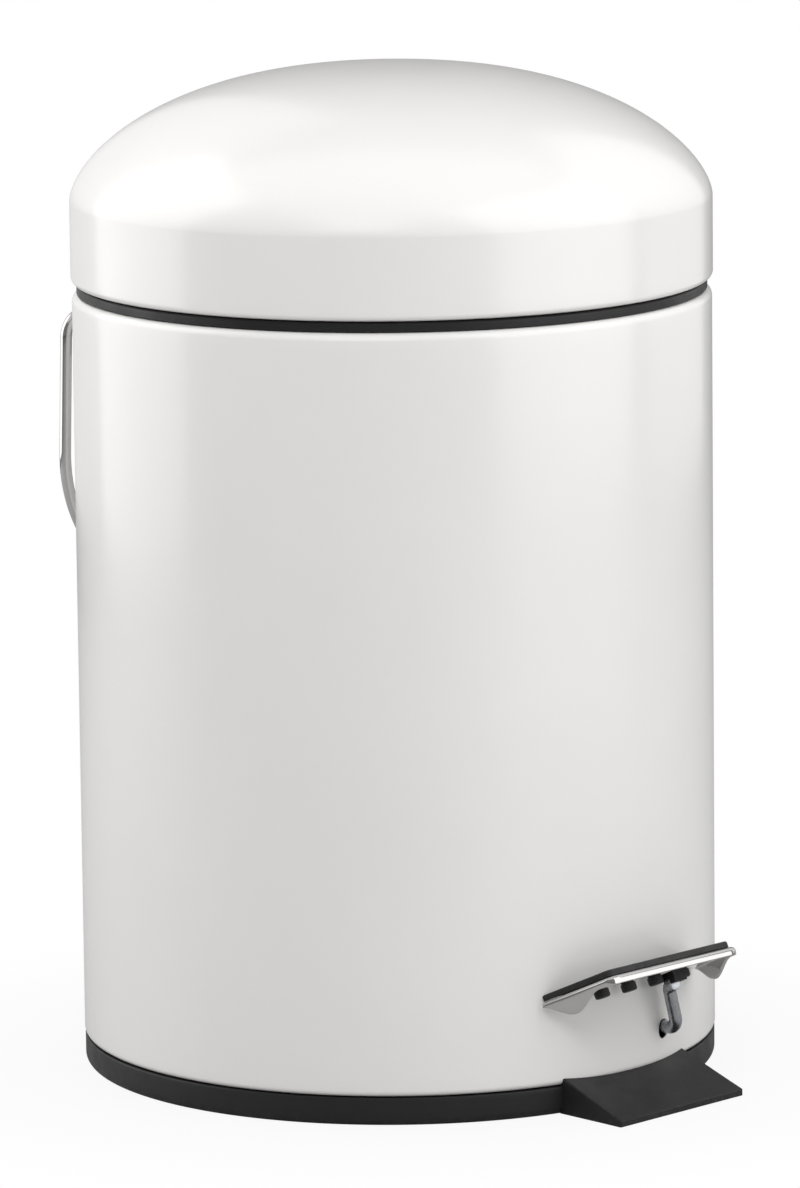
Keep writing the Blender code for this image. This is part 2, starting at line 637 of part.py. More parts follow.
def finger(neck_top):
    """Crank finger whose lower face lies on a line through the hinge axis."""
    tilt = LID_OPENING / 2
    line = Vector((-math.cos(tilt), -math.sin(tilt)))
    up = Vector((-math.sin(tilt), math.cos(tilt)))
    axis = Vector((HINGE.y, HINGE.z))
    back = BODY_RADIUS - BODY_TOP_ROLL - BODY_LIP - FINGER_STANDOFF
    low_back = axis + line * ((HINGE.y - back) / math.cos(tilt))
    tip = axis + line * FINGER_LENGTH
    top_tip = tip + up * FINGER_THICKNESS
    front = BRACKET_FRONT - FINGER_ROOT
    outline = [(back, neck_top), low_back, tip, top_tip, (front, low_back.y + FINGER_ROOT), (front, neck_top)]
    return prism("finger", [tuple(p) for p in outline], -FINGER_WIDTH / 2, FINGER_WIDTH / 2)


def hinge_base(look):
    """Plate riveted to the shell with two ears that carry the hinge pin."""
    width = HINGE_BARREL_LENGTH / 2 + GAP + HINGE_EAR
    top = HINGE_PLATE_TOP
    bottom = top - HINGE_PLATE_HEIGHT
    back = BODY_RADIUS + HINGE_PLATE
    deep = BODY_RADIUS - CUT_PAST
    thing = block("hinge_base", (-width, deep, bottom), (width, back, top), look)
    ear = [(deep, bottom), (back, bottom), (HINGE.y + HINGE_BARREL_RADIUS, HINGE.z - HINGE_EAR)]
    ear += arc((HINGE.y, HINGE.z), HINGE_BARREL_RADIUS, 0, 180, 10)
    ear += [(BODY_RADIUS + 0.0009, top), (deep, top)]
    for side, name in ((-1, "left"), (1, "right")):
        inside = side * (HINGE_BARREL_LENGTH / 2 + GAP)
        add(thing, prism("hinge_ear_" + name, ear, inside, side * width))
    cut(thing, turned("hinge_seat", [(0, bottom - 0.01), (BODY_RADIUS + GAP, bottom - 0.01),
                                     (BODY_RADIUS + GAP, top + 0.01), (0, top + 0.01)]))
    cut(thing, rod("hinge_bore", [((-0.02, HINGE.y, HINGE.z), (0.02, HINGE.y, HINGE.z),
                                   HINGE_PIN_RADIUS + GAP)], segments=24))
    cut(thing, rivet_holes("hinge_rivet_holes", hinge_rivets()))
    return thing


def hinge_pin(look):
    """Pin with a head at each end, peened after fitting."""
    half = HINGE_BARREL_LENGTH / 2 + 2 * GAP + HINGE_EAR
    head, thick = HINGE_PIN_RADIUS + HINGE_PIN_HEAD, HINGE_PIN_HEAD_THICKNESS
    profile = [(0, -half - thick), (head, -half - thick), (head, -half), (HINGE_PIN_RADIUS, -half),
               (HINGE_PIN_RADIUS, half), (head, half), (head, half + thick), (0, half + thick)]
    return pin("hinge_pin", HINGE, (1, 0, 0), profile, look)


# ---------------------------------------------------------------- rivets

def lid_rivets():
    """Places of the two rivets through the lid's skirt: outside point, inward direction, grip."""
    places = []
    height = LID_BOTTOM + LID_RIVET_HEIGHT
    for side in (-1, 1):
        x = side * HINGE_RIVET_SPACING / 2
        y = math.sqrt(LID_RADIUS ** 2 - x ** 2)
        places.append((Vector((x, y, height)), Vector((0, -1, 0)), y - BRACKET_FRONT))
    return places


def hinge_rivets():
    height = HINGE_PLATE_TOP - HINGE_PLATE_HEIGHT / 2
    outside = BODY_RADIUS + HINGE_PLATE
    inner = math.sqrt(BODY_INSIDE ** 2 - (HINGE_RIVET_SPACING / 2 + RIVET_HEAD) ** 2)
    return [(Vector((side * HINGE_RIVET_SPACING / 2, outside, height)), Vector((0, -1, 0)), outside - inner)
            for side in (-1, 1)]


def lug_rivets():
    """One rivet below each handle barrel."""
    inner = math.sqrt(BODY_INSIDE ** 2 - (LUG_CENTRE + RIVET_HEAD) ** 2)
    height = HANDLE_PIVOT.z - LUG_BARREL - LUG_RIVET_DROP
    return [(Vector((side * LUG_CENTRE, LUG_FACE, height)), Vector((0, -1, 0)), LUG_FACE - inner)
            for side in (-1, 1)]


def rivet_holes(name, places):
    rods = []
    for outside, inward, grip in places:
        rods.append((outside - inward * 2 * CUT_PAST, outside + inward * (grip + 2 * CUT_PAST),
                     RIVET_RADIUS + GAP))
    return rod(name, rods)


# ---------------------------------------------------------------- push rod

def push_rod(look):
    """Upright wire with a rounded tip under the crank finger."""
    bottom = LEVER_HEIGHT + LEVER_RADIUS + SHOE_ROOF
    profile = [(0, bottom), (ROD_RADIUS, bottom)]
    profile += arc((0, ROD_TOP - ROD_RADIUS), ROD_RADIUS, 0, 90, 4)
    return pin("push_rod", (0, ROD_Y, 0), (0, 0, 1), profile, look)


def push_rod_shoe(look):
    """Plastic foot that straddles the lever's rear end."""
    low = LEVER_HEIGHT - SHOE_OVER_LEVER
    top = low + SHOE_HEIGHT
    half = SHOE_WIDTH / 2
    thing = block("push_rod_shoe", (-half, ROD_Y - SHOE_LENGTH / 2, low),
                  (half, ROD_Y + SHOE_LENGTH / 2, top), look)
    groove = LEVER_RADIUS + SHOE_CLEARANCE
    roof = LEVER_HEIGHT + LEVER_RADIUS + GAP + SHOE_LENGTH / 2 * math.sin(LEVER_TRAVEL)
    cut(thing, block("shoe_groove", (-groove, ROD_Y - SHOE_LENGTH, low - CUT_PAST),
                     (groove, ROD_Y + SHOE_LENGTH, roof)))
    socket = LEVER_HEIGHT + LEVER_RADIUS + SHOE_ROOF - GAP
    cut(thing, rod("shoe_socket", [((0, ROD_Y, socket), (0, ROD_Y, top + CUT_PAST), ROD_RADIUS + GAP)]))
    return thing


def push_rod_guide(name, height, look):
    """Block on the shell's rear wall with an eye for the push rod."""
    half = GUIDE_WIDTH / 2
    thing = block(name, (-half, ROD_Y - ROD_RADIUS - GAP - GUIDE_FRONT_WALL, height),
                  (half, BODY_RADIUS, height + GUIDE_HEIGHT), look)
    wall = turned(name + "_wall", [(0, height - 0.01), (BODY_INSIDE - GAP, height - 0.01),
                                   (BODY_INSIDE - GAP, height + 0.02), (0, height + 0.02)])
    boolean(thing, wall, "INTERSECT")
    cut(thing, rod(name + "_eye", [((0, ROD_Y, height - CUT_PAST), (0, ROD_Y, height + GUIDE_HEIGHT + CUT_PAST),
                                    ROD_RADIUS + GAP)]))
    return thing


# ---------------------------------------------------------------- lever and its bearing

def lever_path():
    """Cut end under the pedal, upright, through the shell, pivot run, then back to the push rod."""
    upright_y = -(math.sqrt(BODY_RADIUS ** 2 - LEVER_ENTRY ** 2) + LEVER_STANDOFF + LEVER_RADIUS * 0.6)
    top_x = LEVER_ENTRY - LEVER_TOP_SHIFT
    knee = PEDAL_REAR_HEIGHT - LEVER_KNEE_DROP
    level = PIVOT.z
    crank_x = LEVER_ENTRY - LEVER_CRANK
    rear = ROD_Y + SHOE_LENGTH / 2
    return [(top_x + LEVER_END[0], upright_y + LEVER_END[1], knee + LEVER_END[2]), (top_x, upright_y, knee),
            (LEVER_ENTRY, upright_y, level), (LEVER_ENTRY, PIVOT.y, level), (crank_x, PIVOT.y, level),
            (0, rear, level)]


def lever_bends():
    """The top knee is bent tighter than the rest."""
    points = lever_path()
    tight = rounded(points[:3], LEVER_RADIUS + LEVER_TOP_BEND, 4)[:-1]
    rest = rounded([tight[-1]] + points[2:], LEVER_BEND, 6)[1:]
    return tight + rest


def pedal_lever(look):
    return wire("pedal_lever", lever_bends(), LEVER_RADIUS, look)


def bearing_span():
    middle = LEVER_ENTRY - LEVER_CRANK / 2
    return middle - BEARING_WIDTH / 2, middle + BEARING_WIDTH / 2


def bearing_screw_places():
    low, high = bearing_span()
    y = PIVOT.y + LEVER_RADIUS + GAP + BEARING_SCREW_EDGE
    return [(low + BEARING_SCREW_EDGE, y), (high - BEARING_SCREW_EDGE, y)]


def lever_bearing(look):
    """Saddle that stands on the base floor and reaches over the collar."""
    low, high = bearing_span()
    front = PIVOT.y - LEVER_RADIUS - GAP - BEARING_FRONT_WALL
    foot_front = -math.sqrt((FLANGE_INSIDE - GAP - COLLAR_WALL - GAP) ** 2 - max(abs(low), abs(high)) ** 2)
    step = BODY_FOOT + BODY_WALL + GAP + COLLAR_BEAD_HEIGHT + GAP
    back = PIVOT.y + LEVER_RADIUS + GAP + BEARING_BACK_WALL
    top = PIVOT.z + LEVER_RADIUS
    outline = [(foot_front, BASE_FLOOR + GAP), (back, BASE_FLOOR + GAP), (back, top), (front, top),
               (front, step), (foot_front, step)]
    thing = prism("lever_bearing", outline, low, high, look)
    groove = LEVER_RADIUS + GAP
    slot = [(PIVOT.y + groove, PIVOT.z), (PIVOT.y + groove, top + CUT_PAST),
            (PIVOT.y - groove, top + CUT_PAST)]
    slot += arc((PIVOT.y, PIVOT.z), groove, 180, 360, 10)[:-1]
    cut(thing, prism("bearing_groove", slot, low - CUT_PAST, high + CUT_PAST))
    for i, (x, y) in enumerate(bearing_screw_places()):
        cut(thing, rod("bearing_hole_%d" % i, [((x, y, PIVOT.z - BEARING_SCREW_DEPTH), (x, y, top + CUT_PAST),
                                                  SCREW_RADIUS + GAP)]))
        cut(thing, rod("bearing_foot_hole_%d" % i, [((x, y, 0), (x, y, BASE_FLOOR + BEARING_FOOT_SCREW_DEPTH),
                                                       SCREW_RADIUS + GAP)]))
    return thing


def lever_bearing_cap(look):
    """Keeper plate over the pivot run."""
    low, high = bearing_span()
    front = PIVOT.y - LEVER_RADIUS - GAP - BEARING_FRONT_WALL
    back = PIVOT.y + LEVER_RADIUS + GAP + BEARING_BACK_WALL
    bottom = PIVOT.z + LEVER_RADIUS + GAP
    thing = block("lever_bearing_cap", (low, front, bottom), (high, back, bottom + BEARING_CAP), look)
    for i, (x, y) in enumerate(bearing_screw_places()):
        cut(thing, rod("cap_hole_%d" % i, [((x, y, bottom - CUT_PAST), (x, y, bottom + BEARING_CAP + CUT_PAST),
                                               SCREW_RADIUS + GAP)]))
    return thing


# ---------------------------------------------------------------- pedal

def pedal_point(side, forward, above=0.0):
    """Pedal coordinates (sideways, forward along the slope, above the plate) to the bin's."""
    y = PEDAL_REAR_Y - forward * math.cos(PEDAL_SLOPE) + above * math.sin(PEDAL_SLOPE)
    z = PEDAL_REAR_HEIGHT + forward * math.sin(PEDAL_SLOPE) + above * math.cos(PEDAL_SLOPE)
    return Vector((side, y, z))


def pedal_outline(inset=0.0, corner_steps=4, side_steps=6):
    """Half outline from the rear tip to the middle of the front edge, as (side, forward) points."""
    rear, front = PEDAL_REAR_WIDTH / 2, PEDAL_FRONT_WIDTH / 2
    length = PEDAL_LENGTH - inset
    tip = Vector((rear, 0))
    corner = Vector((front, PEDAL_LENGTH))
    edge = (corner - tip).normalized()
    inward = Vector((-edge.y, edge.x))
    tip = tip + inward * inset + edge * inset * 0.6
    share = (length - tip.y) / edge.y
    corner = tip + edge * share
    radius = max(PEDAL_CORNER - inset, PEDAL_BEND)
    half = edge.angle(Vector((-1, 0))) / 2
    reach = radius * math.tan(half)
    start = corner - edge * reach
    end = corner + Vector((-reach, 0))
    centre = end - Vector((0, radius))
    points = [tip + (start - tip) * i / side_steps for i in range(side_steps)]
    first, last = start - centre, end - centre
    sweep = first.angle(last)
    for i in range(corner_steps + 1):
        turn = sweep * i / corner_steps
        away = (math.sin(sweep - turn) * first + math.sin(turn) * last) / math.sin(sweep)
        points.append(centre + away)
    return points


def pedal_rear(inset=0.0, steps=10):
    """Rear edge that follows the shell, from the right tip's side to the left."""
    first = pedal_outline(inset)[0]
    radius = PEDAL_REAR_RADIUS + inset
    points = []
    for i in range(1, steps):
        x = first.x - 2 * first.x * i / steps
        y = -math.sqrt(radius ** 2 - x ** 2)
        points.append(Vector((x, (PEDAL_REAR_Y - y) / math.cos(PEDAL_SLOPE))))
    return points


def flange_depth(point):
    """Side wings are deepest a third of the way forward and run out to the front flange."""
    share = max(min(point.y / PEDAL_LENGTH, 1), 0)
    depth = PEDAL_TIP + (PEDAL_FLANGE - PEDAL_TIP) * share
    if share < PEDAL_WING_END:
        swell = (share - PEDAL_WING_START) / (PEDAL_WING_END - PEDAL_WING_START)
        depth += PEDAL_WING * math.sin(math.pi * swell) ** 2
    return depth


def pedal_plate(look):
    """Pressed plate: sloping top, bent edge and wings, given its thickness by Solidify."""
    right = pedal_outline()
    right_in = pedal_outline(PEDAL_BEND)
    rim = right + [Vector((-p.x, p.y)) for p in reversed(right)]
    rim_in = right_in + [Vector((-p.x, p.y)) for p in reversed(right_in)]
    bm = bmesh.new()
    rows = []
    for inner, outer in zip(rim_in, rim):
        depth = flange_depth(outer)
        low = outer + (inner - outer) * (depth * PEDAL_DRAFT / PEDAL_BEND)
        rows.append([bm.verts.new(pedal_point(inner.x, inner.y)),
                     bm.verts.new(pedal_point(outer.x, outer.y, -PEDAL_BEND)),
                     bm.verts.new(pedal_point(low.x, low.y, -PEDAL_BEND - depth))])
    rear = [bm.verts.new(pedal_point(-p.x, p.y)) for p in pedal_rear(PEDAL_BEND)]
    bm.faces.new([row[0] for row in rows] + rear)
    for one, two in zip(rows, rows[1:]):
        bm.faces.new((one[0], one[1], two[1], two[0]))
        bm.faces.new((one[1], one[2], two[2], two[1]))
    bmesh.ops.recalc_face_normals(bm, faces=bm.faces)
    if sum(face.normal.z for face in bm.faces if len(face.verts) > 4) < 0:
        bmesh.ops.reverse_faces(bm, faces=bm.faces)
    mesh = bpy.data.meshes.new("pedal_plate")
    bm.to_mesh(mesh)
    bm.free()
    mesh.materials.append(look)
    thing = bpy.data.objects.new("pedal_plate", mesh)
    bpy.context.scene.collection.objects.link(thing)
    thick = thing.modifiers.new("sheet", "SOLIDIFY")
    thick.thickness = PEDAL_SHEET
    thick.offset = -1
    thick.use_even_offset = True
    for i, place in enumerate(peg_places()):
        above, below = pedal_point(*place, CUT_PAST), pedal_point(*place, -PEDAL_SHEET - CUT_PAST)
        cut(thing, rod("plate_hole_%d" % i, [(above, below, PEG_RADIUS + GAP)]))
    return thing


def peg_places():
    middle = (PEDAL_LENGTH + (PEDAL_REAR_RADIUS + PEDAL_REAR_Y) / math.cos(PEDAL_SLOPE)) / 2 - PEG_BEHIND_MIDDLE
    return [(PEG_SPACING * (i - 1.5), middle) for i in range(4)]


def pedal_pad(look):
    """Rubber tread on the plate, held by four pegs pushed through it."""
    right = pedal_outline(PAD_INSET)
    outline = right + [Vector((-p.x, p.y)) for p in reversed(right)]
    outline += [Vector((-p.x, p.y)) for p in pedal_rear(PAD_INSET)]
    bm = bmesh.new()
    face = bm.faces.new([bm.verts.new(pedal_point(p.x, p.y, GAP)) for p in outline])
    grown = bmesh.ops.extrude_face_region(bm, geom=[face])
    moved = [item for item in grown["geom"] if isinstance(item, bmesh.types.BMVert)]
    rise = pedal_point(0, 0, PAD_THICKNESS) - pedal_point(0, 0)
    bmesh.ops.translate(bm, verts=moved, vec=rise)
    thing = finish("pedal_pad", bm, look)
    for i, place in enumerate(peg_places()):
        deep = -PEDAL_SHEET - PEG_DEPTH
        add(thing, rod("peg_%d" % i, [(pedal_point(*place, GAP + PAD_THICKNESS / 3), pedal_point(*place, deep),
                                       PEG_RADIUS)]))
    return thing


def pedal_clip(look):
    """Black clip that ties the cut end of the lever to the plate."""
    knee = lever_path()[1]
    forward = (PEDAL_REAR_Y - knee[1]) / math.cos(PEDAL_SLOPE) + CLIP_SHIFT
    top = -PEDAL_SHEET - GAP
    bm = bmesh.new()
    bmesh.ops.create_cube(bm, size=1)
    for vert in bm.verts:
        side = knee[0] + vert.co.x * CLIP_WIDTH
        along_plate = forward + vert.co.y * CLIP_LENGTH
        above = top if vert.co.z > 0 else top - CLIP_HEIGHT
        vert.co = pedal_point(side, along_plate, above)
    thing = finish("pedal_clip", bm, look)
    cut(thing, wire("lever_clearance", lever_bends(), LEVER_RADIUS + GAP))
    return thing


# ---------------------------------------------------------------- rear handle

def rear_handle(look):
    """U of chromed wire whose ends turn in through the lugs; it leans on the rear of the shell."""
    half, wire_radius = HANDLE_HALF_WIDTH, HANDLE_WIRE_RADIUS
    top = HANDLE_PIVOT.z
    centre = top - HANDLE_DROP
    left = rounded([(-HANDLE_END, 0, top), (-half, 0, top), (-half, 0, centre)], HANDLE_BEND, 6)
    path = left + [Vector((-half * math.cos(math.pi * i / 28), 0, centre - half * math.sin(math.pi * i / 28)))
                   for i in range(1, 28)]
    path += [Vector((-p.x, p.y, p.z)) for p in reversed(left)]
    drop = HANDLE_DROP + half
    lean = math.asin((BODY_RADIUS + wire_radius + GAP - HANDLE_PIVOT.y) / drop)
    turn = Matrix.Rotation(lean, 4, "X")
    pivot = Vector((0, 0, top))
    path = [turn @ (p - pivot) + HANDLE_PIVOT for p in path]
    return wire("rear_handle", path, wire_radius, look)


def handle_lug(side, name, place, look):
    """Cast eye for one end of the handle."""
    y, z = HANDLE_PIVOT.y, HANDLE_PIVOT.z
    inside = (LUG_CENTRE - LUG_WIDTH / 2) * side
    outside = (LUG_CENTRE + LUG_WIDTH / 2) * side
    deep = math.sqrt(BODY_RADIUS ** 2 - (LUG_CENTRE + LUG_WIDTH) ** 2)
    bottom = z + LUG_BARREL - LUG_HEIGHT
    outline = [(deep, bottom), (LUG_FACE, bottom), (LUG_FACE, z - LUG_BARREL * 0.8)]
    outline += arc((y, z), LUG_BARREL, -50, 90, 8) + [(deep, z + LUG_BARREL)]
    thing = prism("handle_lug_" + name, outline, min(inside, outside), max(inside, outside), look)
    seat = BODY_RADIUS + GAP
    low, high = bottom - LUG_HEIGHT, z + LUG_HEIGHT
    cut(thing, turned("lug_seat_" + name, [(0, low), (seat, low), (seat, high), (0, high)],
                      segments=SEGMENTS * 2))
    cut(thing, rod("lug_bore_" + name, [((-0.06, y, z), (0.06, y, z), HANDLE_WIRE_RADIUS + GAP)]))
    cut(thing, rivet_holes("lug_rivet_hole_" + name, [place]))
    return thing


# ---------------------------------------------------------------- assembly

def main():
    clear_scene()
    enamel = material("white_enamel", (0.86, 0.85, 0.82), 0.18, 0.0)
    black = material("black_plastic", (0.030, 0.030, 0.030), 0.45, 0.0)
    grey = material("grey_plastic", (0.10, 0.10, 0.10), 0.5, 0.0)
    chrome = material("chrome", (0.75, 0.75, 0.76), 0.08, 1.0)
    zinc = material("zinc_plate", (0.55, 0.56, 0.57), 0.35, 1.0)
    rubber = material("black_rubber", (0.035, 0.035, 0.035), 0.7, 0.0)
    nylon = material("natural_nylon", (0.72, 0.70, 0.64), 0.5, 0.0)

    body_shell(enamel)
    rim_ring(black)
    base_moulding(black)
    hinge_base(black)
    hinge_pin(zinc)
    push_rod_guide("push_rod_guide_lower", GUIDE_LOW, nylon)
    push_rod_guide("push_rod_guide_upper", GUIDE_HIGH, nylon)
    lever_bearing(nylon)
    lever_bearing_cap(zinc)
    for name, place in zip(("left", "right"), hinge_rivets()):
        rivet("hinge_rivet_" + name, *place, zinc)
    for side, name, place in zip((-1, 1), ("left", "right"), lug_rivets()):
        handle_lug(side, name, place, chrome)
        rivet("lug_rivet_" + name, *place, zinc)
    for name, (x, y) in zip(("left", "right"), bearing_screw_places()):
        cap_top = PIVOT.z + LEVER_RADIUS + GAP + BEARING_CAP
        screw("cap_screw_" + name, (x, y, cap_top), (0, 0, -1), CAP_SCREW_LENGTH, zinc)
        screw("base_screw_" + name, (x, y, SCREW_HEAD_HEIGHT + 2 * GAP), (0, 0, 1), BASE_SCREW_LENGTH, zinc)

    lid = [lid_shell(enamel), lid_hinge_bracket(black)]
    lid += [rivet("lid_rivet_" + name, *place, zinc) for name, place in zip(("left", "right"), lid_rivets())]
    hang(lid, "lid_axis", HINGE)

    hang([push_rod(zinc), push_rod_shoe(nylon)], "push_rod_axis", Vector((0, ROD_Y, 0)))
    hang([pedal_lever(zinc), pedal_plate(chrome), pedal_pad(rubber), pedal_clip(black)], "pedal_axis", PIVOT)
    hang([rear_handle(chrome)], "rear_handle_axis", HANDLE_PIVOT)
    hang([inner_bucket(grey)], "bucket_axis", Vector((0, 0, 0)))
    hang([bucket_handle(zinc)], "bucket_handle_axis", BUCKET_PIVOT)


main()
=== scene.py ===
import json
import math

import bmesh
import bpy
import numpy as np
from mathutils import Matrix, Vector


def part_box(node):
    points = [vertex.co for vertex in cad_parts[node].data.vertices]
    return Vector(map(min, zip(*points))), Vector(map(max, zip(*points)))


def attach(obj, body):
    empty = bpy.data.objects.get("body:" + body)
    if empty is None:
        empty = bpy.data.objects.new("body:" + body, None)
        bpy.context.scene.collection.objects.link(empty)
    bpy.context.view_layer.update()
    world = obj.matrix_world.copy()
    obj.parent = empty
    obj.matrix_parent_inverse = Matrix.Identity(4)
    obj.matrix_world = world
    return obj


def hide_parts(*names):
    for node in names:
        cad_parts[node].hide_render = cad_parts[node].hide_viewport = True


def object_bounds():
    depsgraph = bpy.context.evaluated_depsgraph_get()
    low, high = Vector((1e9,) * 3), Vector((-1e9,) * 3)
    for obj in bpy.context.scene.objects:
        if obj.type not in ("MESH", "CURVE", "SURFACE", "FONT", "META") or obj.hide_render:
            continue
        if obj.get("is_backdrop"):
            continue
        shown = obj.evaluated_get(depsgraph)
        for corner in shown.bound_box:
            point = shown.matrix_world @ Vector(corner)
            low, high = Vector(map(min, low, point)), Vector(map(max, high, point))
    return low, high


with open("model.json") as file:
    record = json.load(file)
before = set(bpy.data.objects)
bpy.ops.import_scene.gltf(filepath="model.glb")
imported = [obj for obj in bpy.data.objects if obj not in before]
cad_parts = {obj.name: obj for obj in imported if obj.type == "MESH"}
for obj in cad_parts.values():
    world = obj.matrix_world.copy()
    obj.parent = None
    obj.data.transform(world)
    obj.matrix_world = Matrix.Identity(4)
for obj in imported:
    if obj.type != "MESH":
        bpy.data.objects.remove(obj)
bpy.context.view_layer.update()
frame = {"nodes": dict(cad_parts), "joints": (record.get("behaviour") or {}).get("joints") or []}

# Round white pedal bin. Metres, +Z up, axis at the origin, pedal towards -Y, hinge towards +Y.

print("frame loaded:", len(frame["nodes"]), "CAD nodes")


def boxOf(node):
    low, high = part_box(node)
    return np.array(low), np.array(high)


def jointPlace(name):
    for joint in frame["joints"]:
        if joint["name"] == name:
            return np.array(joint["pos_m"], float)


# camera, floor and lights

cameraView = {
    "turn": 45.7,          # degrees round from the front, towards the bin's left
    "distance": 2.5302,    # from the bin's axis, along the floor
    "height": 0.60202,
    "tilt": 0.1763,        # radians below level
    "roll": -0.011,
    "yaw": 0.0006,
    "lens": 241.45,
}


def placeCamera(view):
    # the aim is turned from level by yaw, tilt and roll, then the whole frame is turned round Z
    turn = math.radians(view["turn"])
    aim = Vector((math.sin(view["yaw"]) * math.cos(view["tilt"]),
                  math.cos(view["yaw"]) * math.cos(view["tilt"]), -math.sin(view["tilt"])))
    right = Vector((math.cos(view["yaw"]), -math.sin(view["yaw"]), 0))
    up = right.cross(aim)
    rolledRight = right * math.cos(view["roll"]) + up * math.sin(view["roll"])
    rolledUp = up * math.cos(view["roll"]) - right * math.sin(view["roll"])
    level = Matrix((rolledRight, rolledUp, -aim)).transposed().to_4x4()
    level.translation = (0, -view["distance"], view["height"])
    data = bpy.data.cameras.new("studioCamera")
    data.lens = view["lens"]
    data.sensor_width = 36
    data.clip_end = 50
    camera = bpy.data.objects.new("studioCamera", data)
    camera.matrix_world = Matrix.Rotation(-turn, 4, "Z") @ level
    bpy.context.scene.collection.objects.link(camera)
    bpy.context.scene.camera = camera


def roundTheBin(azimuth, distance, height):
    # azimuth 0 is where the camera stands, positive towards the right of its view
    angle = math.radians(azimuth - cameraView["turn"])
    return Vector((distance * math.sin(angle), -distance * math.cos(angle), height))


lightRig = {
    # name: azimuth, distance, height, width, tall, power, colour, aim height, seen in reflections
    "leftBox": (-100, 0.70, 0.60, 0.74, 1.14, 4.9, (1.0, 0.992, 0.980), 0.45, True),
    "leftRear": (-146, 0.75, 0.60, 0.60, 1.14, 1.2, (1.0, 0.992, 0.980), 0.45, True),
    "rightBox": (63, 0.82, 0.64, 0.98, 1.22, 6.0, (1.0, 0.997, 0.992), 0.45, True),
    "rightRear": (122, 0.85, 0.64, 0.80, 1.22, 2.4, (1.0, 0.997, 0.992), 0.45, True),
    "overhead": (0, 0.30, 1.50, 1.50, 1.50, 4.1, (1.0, 1.0, 1.0), 0.00, True),
    "frontKey": (-12, 1.15, 1.00, 0.60, 0.60, 8.0, (1.0, 1.0, 1.0), 0.24, False),
}


def placeLight(name, azimuth, distance, height, width, tall, power, colour, aimHeight, reflected):
    data = bpy.data.lights.new(name, "AREA")
    data.shape = "RECTANGLE"
    data.size, data.size_y = width, tall
    data.energy = power
    data.color = colour
    light = bpy.data.objects.new(name, data)
    light.location = roundTheBin(azimuth, distance, height)
    aim = Vector((0, 0, aimHeight)) - light.location
    light.rotation_euler = aim.to_track_quat("-Z", "Y").to_euler()
    light.visible_camera = False
    light.visible_glossy = reflected
    bpy.context.scene.collection.objects.link(light)


def addNode(tree, kind, **values):
    # a new node with the inputs named set; a space in a name is written _
    node = tree.nodes.new(kind)
    for socket, value in values.items():
        node.inputs[socket.replace("_", " ")].default_value = value
    return node


def mixShaders(tree, share, one, two, into):
    mix = tree.nodes.new("ShaderNodeMixShader")
    for socket, source in zip(mix.inputs, (share, one, two)):
        tree.links.new(source, socket)
    tree.links.new(mix.outputs[0], into)


roomLook = {"brightness": 0.26, "backdrop": 1.0}


def placeWorld(brightness, backdrop):
    # the camera sees a white backdrop, the bin reflects a dimmer room
    world = bpy.data.worlds.new("studioRoom")
    world.use_nodes = True
    bpy.context.scene.world = world
    tree = world.node_tree
    tree.nodes.clear()
    room = addNode(tree, "ShaderNodeBackground", Color=(1, 1, 1, 1), Strength=brightness)
    white = addNode(tree, "ShaderNodeBackground", Color=(1, 1, 1, 1), Strength=backdrop)
    path = addNode(tree, "ShaderNodeLightPath")
    out = addNode(tree, "ShaderNodeOutputWorld")
    mixShaders(tree, path.outputs["Is Camera Ray"], room.outputs[0], white.outputs[0], out.inputs[0])


# materials

